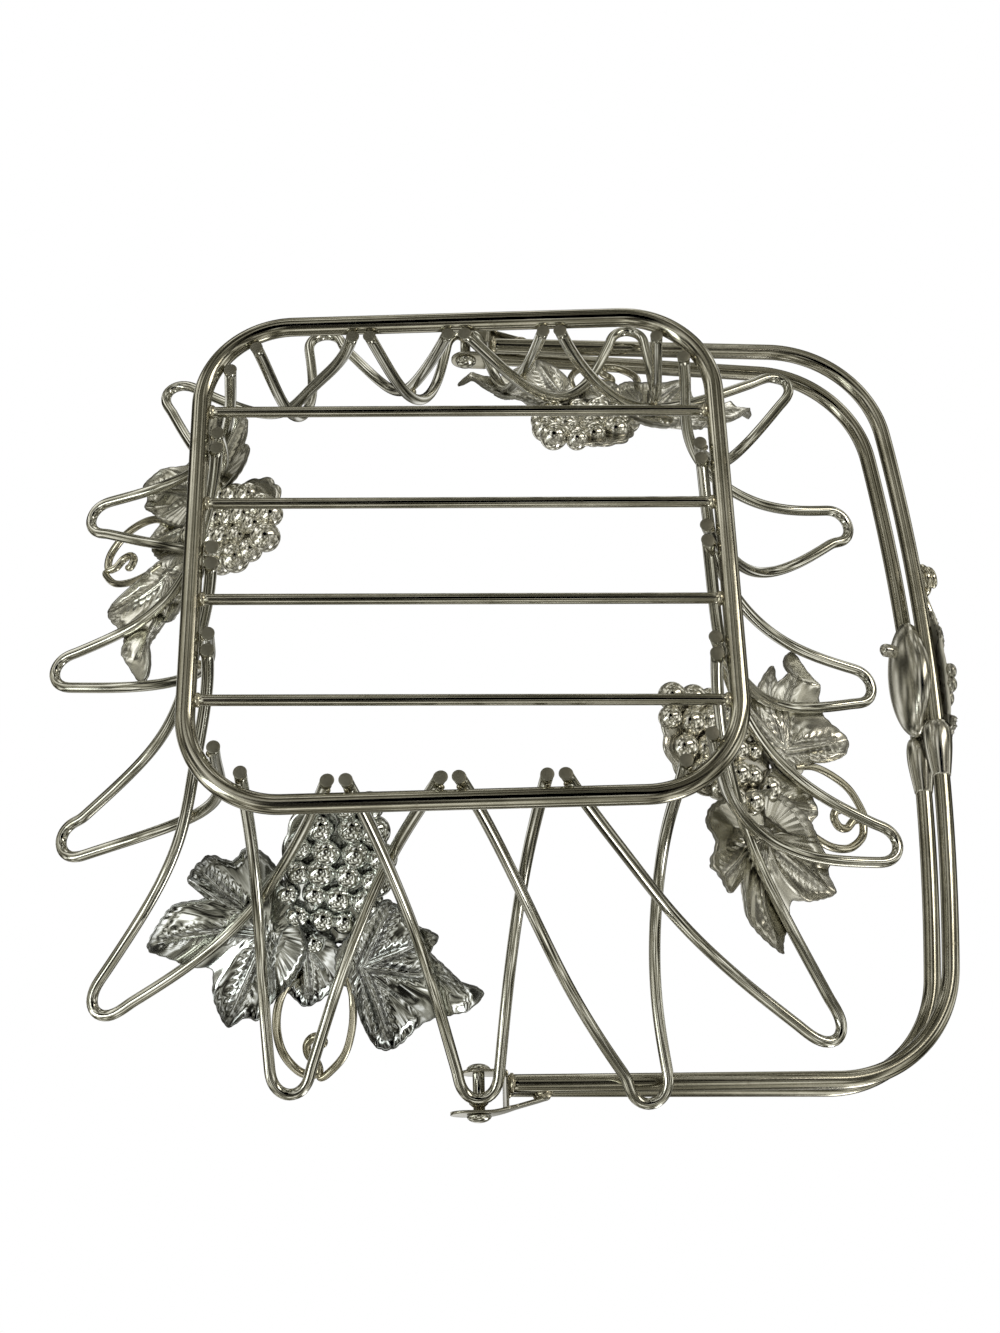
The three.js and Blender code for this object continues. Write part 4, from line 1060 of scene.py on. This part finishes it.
def pivot_pin(hand, suffix):
    """A pin turned about Y: domed heads outside the cheeks and a plain shank."""
    inner = bracket_middle - BRACKET_INSIDE / 2 - BRACKET_SHEET - TOUCH_GAP
    outer = bracket_middle + BRACKET_INSIDE / 2 + BRACKET_SHEET + TOUCH_GAP
    dome = np.linspace(0.04, math.pi / 2, 9)
    shank = PIN_DIAMETER / 2
    head = PIN_HEAD_DIAMETER / 2 * np.sin(dome)
    neck = shank + PIN_FILLET
    radii = np.concatenate([head, [neck, shank, shank, neck], head[::-1]])[:, None]
    along = np.concatenate([
        inner - PIN_HEAD_HEIGHT * np.cos(dome),
        [inner, inner + PIN_FILLET, outer - PIN_FILLET, outer],
        outer + PIN_HEAD_HEIGHT * np.cos(dome[::-1]),
    ])[:, None]
    angle = full_turn(32)
    middle = np.array([0, 0, pivot_height])
    rings = np.stack([radii * np.cos(angle), hand * along + 0 * angle, radii * np.sin(angle)], -1) + middle
    poles = [middle[None] + (0, hand * at, 0) for at in (inner - PIN_HEAD_HEIGHT, outer + PIN_HEAD_HEIGHT)]
    piece(f"pin_{suffix}", skin(rings, *poles), WIRE, "basket", f"pivot_pin_{suffix}")
    solder = ellipsoid(np.array([0, hand * pivot_reach, pivot_height - 2.4]), np.eye(3), (3.6, 2.6, 1.6))
    piece(f"pin_{suffix}_solder", solder, SOLDER, "basket")


def crest_seat(along):
    """A place on the outer side of the bow: a function from places along the bow and across the rods, and
    heights away from the basket, to points."""
    reach = float(bow_reach(along))
    away = unit(np.array([reach - handle_reach + HANDLE_BOW_RADIUS, along, 0.0]))
    origin = np.array([reach, along, 0.0]) + away * (rod_reach + TOUCH_GAP)
    directions = np.stack([np.cross(UP, away), UP, away])
    return lambda u, v, h: on_handle(origin + np.stack([u, v, h], axis=-1) @ directions)


def no_wires(u, v):
    """The least height of a sheet that lies on the seat itself."""
    return 0 * u


def crest_boat():
    """A smooth boat-shaped shell on the inner side of the bow, with a nub that points inwards."""
    reach = float(bow_reach(BOAT_ALONG)) + rod_reach - BOAT_HALF_DEPTH
    polar = np.linspace(0, math.pi, 60)[1:-1, None]
    angle = full_turn(48)
    slim = np.sin(polar) ** 1.15
    rings = np.stack([
        reach + BOAT_HALF_DEPTH * slim * np.cos(angle),
        BOAT_ALONG - BOAT_HALF_LENGTH * np.cos(polar) + 0 * angle,
        BOAT_HALF_HEIGHT * slim * np.sin(angle),
    ], -1)
    tips = [np.array([[reach, BOAT_ALONG + end * BOAT_HALF_LENGTH, 0]]) for end in (-1, 1)]
    inwards = [(3, -17), (6.5, -18), (9.5, -18.5), (11, -18.5)]
    route = spline([(reach - depth, along, 0) for depth, along in inwards], 30)
    nub = tube(route, UP, round_end(route, 2.6, 2.4), bevel=0)
    boat = moved(joined([skin(rings, *tips), nub]), on_handle)
    piece("crest_boat", boat, CREST, "handle", "crest_shell")


def crest_cuffs():
    """A cuff round each rod beside the boat, thick at one end and thin at the other."""
    cuffs = []
    for level in (-1, 1):
        path = rod_path(level)
        beside = (path[:, 1] > CUFF_ALONG[0]) & (path[:, 1] < CUFF_ALONG[1])
        route = spline(path[beside], 60)
        share = np.linspace(0, 1, len(route))
        swell = 2.8 * np.sin(math.pi * share) ** 0.5 * (1 - 0.8 * share)
        cuffs.append(tube(route, UP, ROD_DIAMETER / 2 + 0.2 + swell, 28))
    piece("crest_cuffs", moved(joined(cuffs), on_handle), CREST, "handle")


def crest_leaves():
    """Two small leaves, one on each side of the bunch: the walls' middle leaf, shortened."""
    for number, end, share in ((1, -1, 0.62), (2, 1, 0.44)):
        place_sheet = sheet_placer(crest_seat(CREST_BUNCH_ALONG + end * CREST_LEAF_PITCH / 2), no_wires)
        outline = [(end * share * x, 0.5 * y) for x, y in MIDDLE_OUTLINE]
        veins = [(end * share * x, 0.5 * y) for x, y in MIDDLE_VEINS]
        shape = vine_leaf(outline, veins, (-end * 8, 0), 1.2, place_sheet, 1.2, spacing=2.6)
        piece(f"crest_leaf_{number}_carved", shape, CREST, "handle", f"crest_leaf_{number}")


def crest_bunch():
    """Flattened grapes in the middle, and the plain plate behind the leaves and grapes."""
    put = crest_seat(CREST_BUNCH_ALONG)

    def place_ball(points, across, up, size, height):
        return put(points[:, 0] + across, points[:, 1] + up, 0.75 * points[:, 2] + 2.8 + height)

    grapes = grape_cluster((2, 3, 3, 3, 2), 5.8, 6.4, 11.5, (3.2, 4.2), 0.8, place_ball, 9)
    piece("crest_grapes", grapes, CREST, "handle", "crest_grape_bunch")
    plate = backing_plate(27, 13, (-4, 0), 1.2, sheet_placer(put, no_wires))
    piece("crest_back", plate, BACK_PAINTED_LIGHT, "handle")


def crest_curl():
    """A tendril that coils twice, each turn smaller and farther out than the last."""
    share = np.linspace(0, 1, 150)
    turn = math.radians(720) * share - math.radians(20)
    size = CREST_CURL_RADIUS * (1 - 0.35 * share)
    coil = np.stack([size * np.cos(turn), size * np.sin(turn), 1.6 + 5.4 * share], -1)
    lead = spline([(16, -3, 3), (11, -3.4, 1.8), tuple(coil[0])], 24)[:-1]
    points = crest_seat(CREST_CURL_ALONG)(*np.concatenate([lead, coil]).T)
    radii = round_end(points, CREST_STEM_RADIUS, 2.5)
    shape = tube(points, ACROSS, radii, 14, bevel=0)
    piece("crest_curl", shape, TENDRIL, "handle", "crest_tendril")


# Studio


def pose(made, right, up, back, at):
    """Sets an object's three directions and its place in metres."""
    matrix = np.eye(4)
    matrix[:3] = np.column_stack([right, up, back, at])
    made.matrix_world = Matrix(matrix.tolist())


def camera():
    """The photograph's view: from below, 66.9 degrees under the horizon, on the near side."""
    forward = turned(-ALONG * math.cos(CAMERA_BELOW), CAMERA_TURN) + UP * math.sin(CAMERA_BELOW)
    down = unit(UP - forward * forward[2])
    right = np.cross(down, forward)
    cos, sin = math.cos(CAMERA_ROLL), math.sin(CAMERA_ROLL)
    right, down = cos * right + sin * down, cos * down - sin * right
    data = bpy.data.cameras.new("camera")
    data.sensor_width = SENSOR_WIDTH
    data.lens = FOCAL_PIXELS * SENSOR_WIDTH / PHOTO_HEIGHT
    data.clip_start = 0.01
    made = shown("camera", data)
    pose(made, right, -down, -forward, place(CAMERA_TARGET - forward * CAMERA_DISTANCE))
    bpy.context.scene.camera = made


def world():
    """White where it is seen or mirrored, and a plain level for what it lights."""
    made = bpy.data.worlds.new("studio")
    bpy.context.scene.world = made
    made.use_nodes = True
    tree = made.node_tree
    rays = node(tree, "ShaderNodeLightPath").outputs
    seen = maths(tree, "MAXIMUM", rays["Is Camera Ray"], rays["Is Glossy Ray"])
    seen = maths(tree, "MAXIMUM", seen, rays["Is Transmission Ray"])
    back = tree.nodes["Background"]
    back.inputs["Color"].default_value = (1, 1, 1, 1)
    tree.links.new(spread_over(tree, seen, To_Min=0.75, To_Max=1.0), back.inputs["Strength"])


def floor():
    """A pale floor under the base, seen and shadowed from above and clear from below."""
    look, tree, shader = new_look("floor")
    shader.inputs["Base Color"].default_value = (0.9, 0.9, 0.9, 1)
    shader.inputs["Roughness"].default_value = 0.9
    below = node(tree, "ShaderNodeNewGeometry").outputs["Backfacing"]
    clear = node(tree, "ShaderNodeBsdfTransparent").outputs["BSDF"]
    mix = node(tree, "ShaderNodeMixShader", {"Fac": below, 1: shader.outputs["BSDF"], 2: clear})
    tree.links.new(mix.outputs["Shader"], tree.nodes["Material Output"].inputs["Surface"])
    mesh = bpy.data.meshes.new("floor")
    mesh.from_pydata([(-4, -4, 0), (4, -4, 0), (4, 4, 0), (-4, 4, 0)], [], [(0, 1, 2, 3)])
    mesh.materials.append(look)
    made = shown("floor", mesh)
    made.visible_glossy = made.visible_diffuse = made.visible_shadow = made.visible_transmission = False


def room_glow():
    """A glow that wanders between dark, olive and a few pale places: dark at the bottom of the room,
    strongest at its sides and weak at the top."""
    look, tree, shader = new_look("room")
    tree.nodes.remove(shader)
    where = node(tree, "ShaderNodeTexCoord").outputs["Object"]
    tones = ramp(
        tree, noise(tree, where, ROOM_PATCHES, 1.5, 0.5), (0.42, (0.014, 0.013, 0.010)),
        (0.50, (0.15, 0.145, 0.115)), (0.58, (0.38, 0.37, 0.32)), last=(0.66, (1.0, 1.0, 0.98)),
    )
    bottom = (0.0, 0.1, -ROOM_RADIUS)
    away = node(tree, "ShaderNodeVectorMath", {0: where, 1: bottom}, operation="DISTANCE").outputs["Value"]
    level = node(tree, "ShaderNodeFloatCurve", {"Value": maths(tree, "DIVIDE", away, 2 * ROOM_RADIUS)})
    curve = level.mapping.curves[0].points
    curve[0].location = (0.1, 0.08)
    curve[1].location = (1.0, 0.2)
    curve.new(0.42, 0.85)
    curve.new(0.75, 0.9)
    level.mapping.update()
    strength = maths(tree, "MULTIPLY", level.outputs["Value"], 2.0)
    glow = node(tree, "ShaderNodeEmission", {"Color": tones, "Strength": strength}).outputs["Emission"]
    tree.links.new(glow, tree.nodes["Material Output"].inputs["Surface"])
    return look


def room():
    """A shell all round that is seen only in reflections."""
    polar = np.linspace(0.01, 0.985, 44)[:, None] * math.pi
    rings = ROOM_RADIUS * sphere_points(polar, full_turn(48))
    shape = skin(rings, None, np.array([[0, 0, -ROOM_RADIUS]]))
    mesh = bpy.data.meshes.new("room")
    mesh.from_pydata(shape["points"].tolist(), [], corner_lists(shape["faces"]))
    mesh.materials.append(room_glow())
    made = shown("room", mesh)
    made.visible_camera = made.visible_diffuse = made.visible_shadow = made.visible_transmission = False


def lamp(name, at, width, height, power, colour=(1, 1, 1)):
    data = bpy.data.lights.new(name, "AREA")
    data.shape = "RECTANGLE"
    data.size = width
    data.size_y = height
    data.energy = power
    data.color = colour
    made = shown(name, data)
    back = unit(np.array(at) - LIT_POINT)
    right = unit(np.cross(UP, back))
    pose(made, right, np.cross(back, right), back, at)
    made.visible_camera = False


camera()
world()
floor()
room()
lamp("lamp_left", (-0.9, 0.5, -0.55), 0.25, 0.9, 3.6, (0.95, 1.0, 0.97))
lamp("lamp_right", (0.8, -0.3, -0.7), 0.2, 0.8, 2.8, (1.0, 0.95, 0.85))
lamp("lamp_above", (0.6, 1.2, 0.8), 0.3, 0.5, 3.0)

base_ring()
cross_bars()
wire_loops()
base_solder()
cut_ends()
crossing_solder()
for wall_side in range(4):
    vine_ornament(wall_side)
handle_rods()
bracket(1, "near")
bracket(-1, "far")
pivot_pin(1, "near")
pivot_pin(-1, "far")
crest_boat()
crest_cuffs()
crest_leaves()
crest_bunch()
crest_curl()

bpy.context.scene.view_settings.view_transform = "Standard"
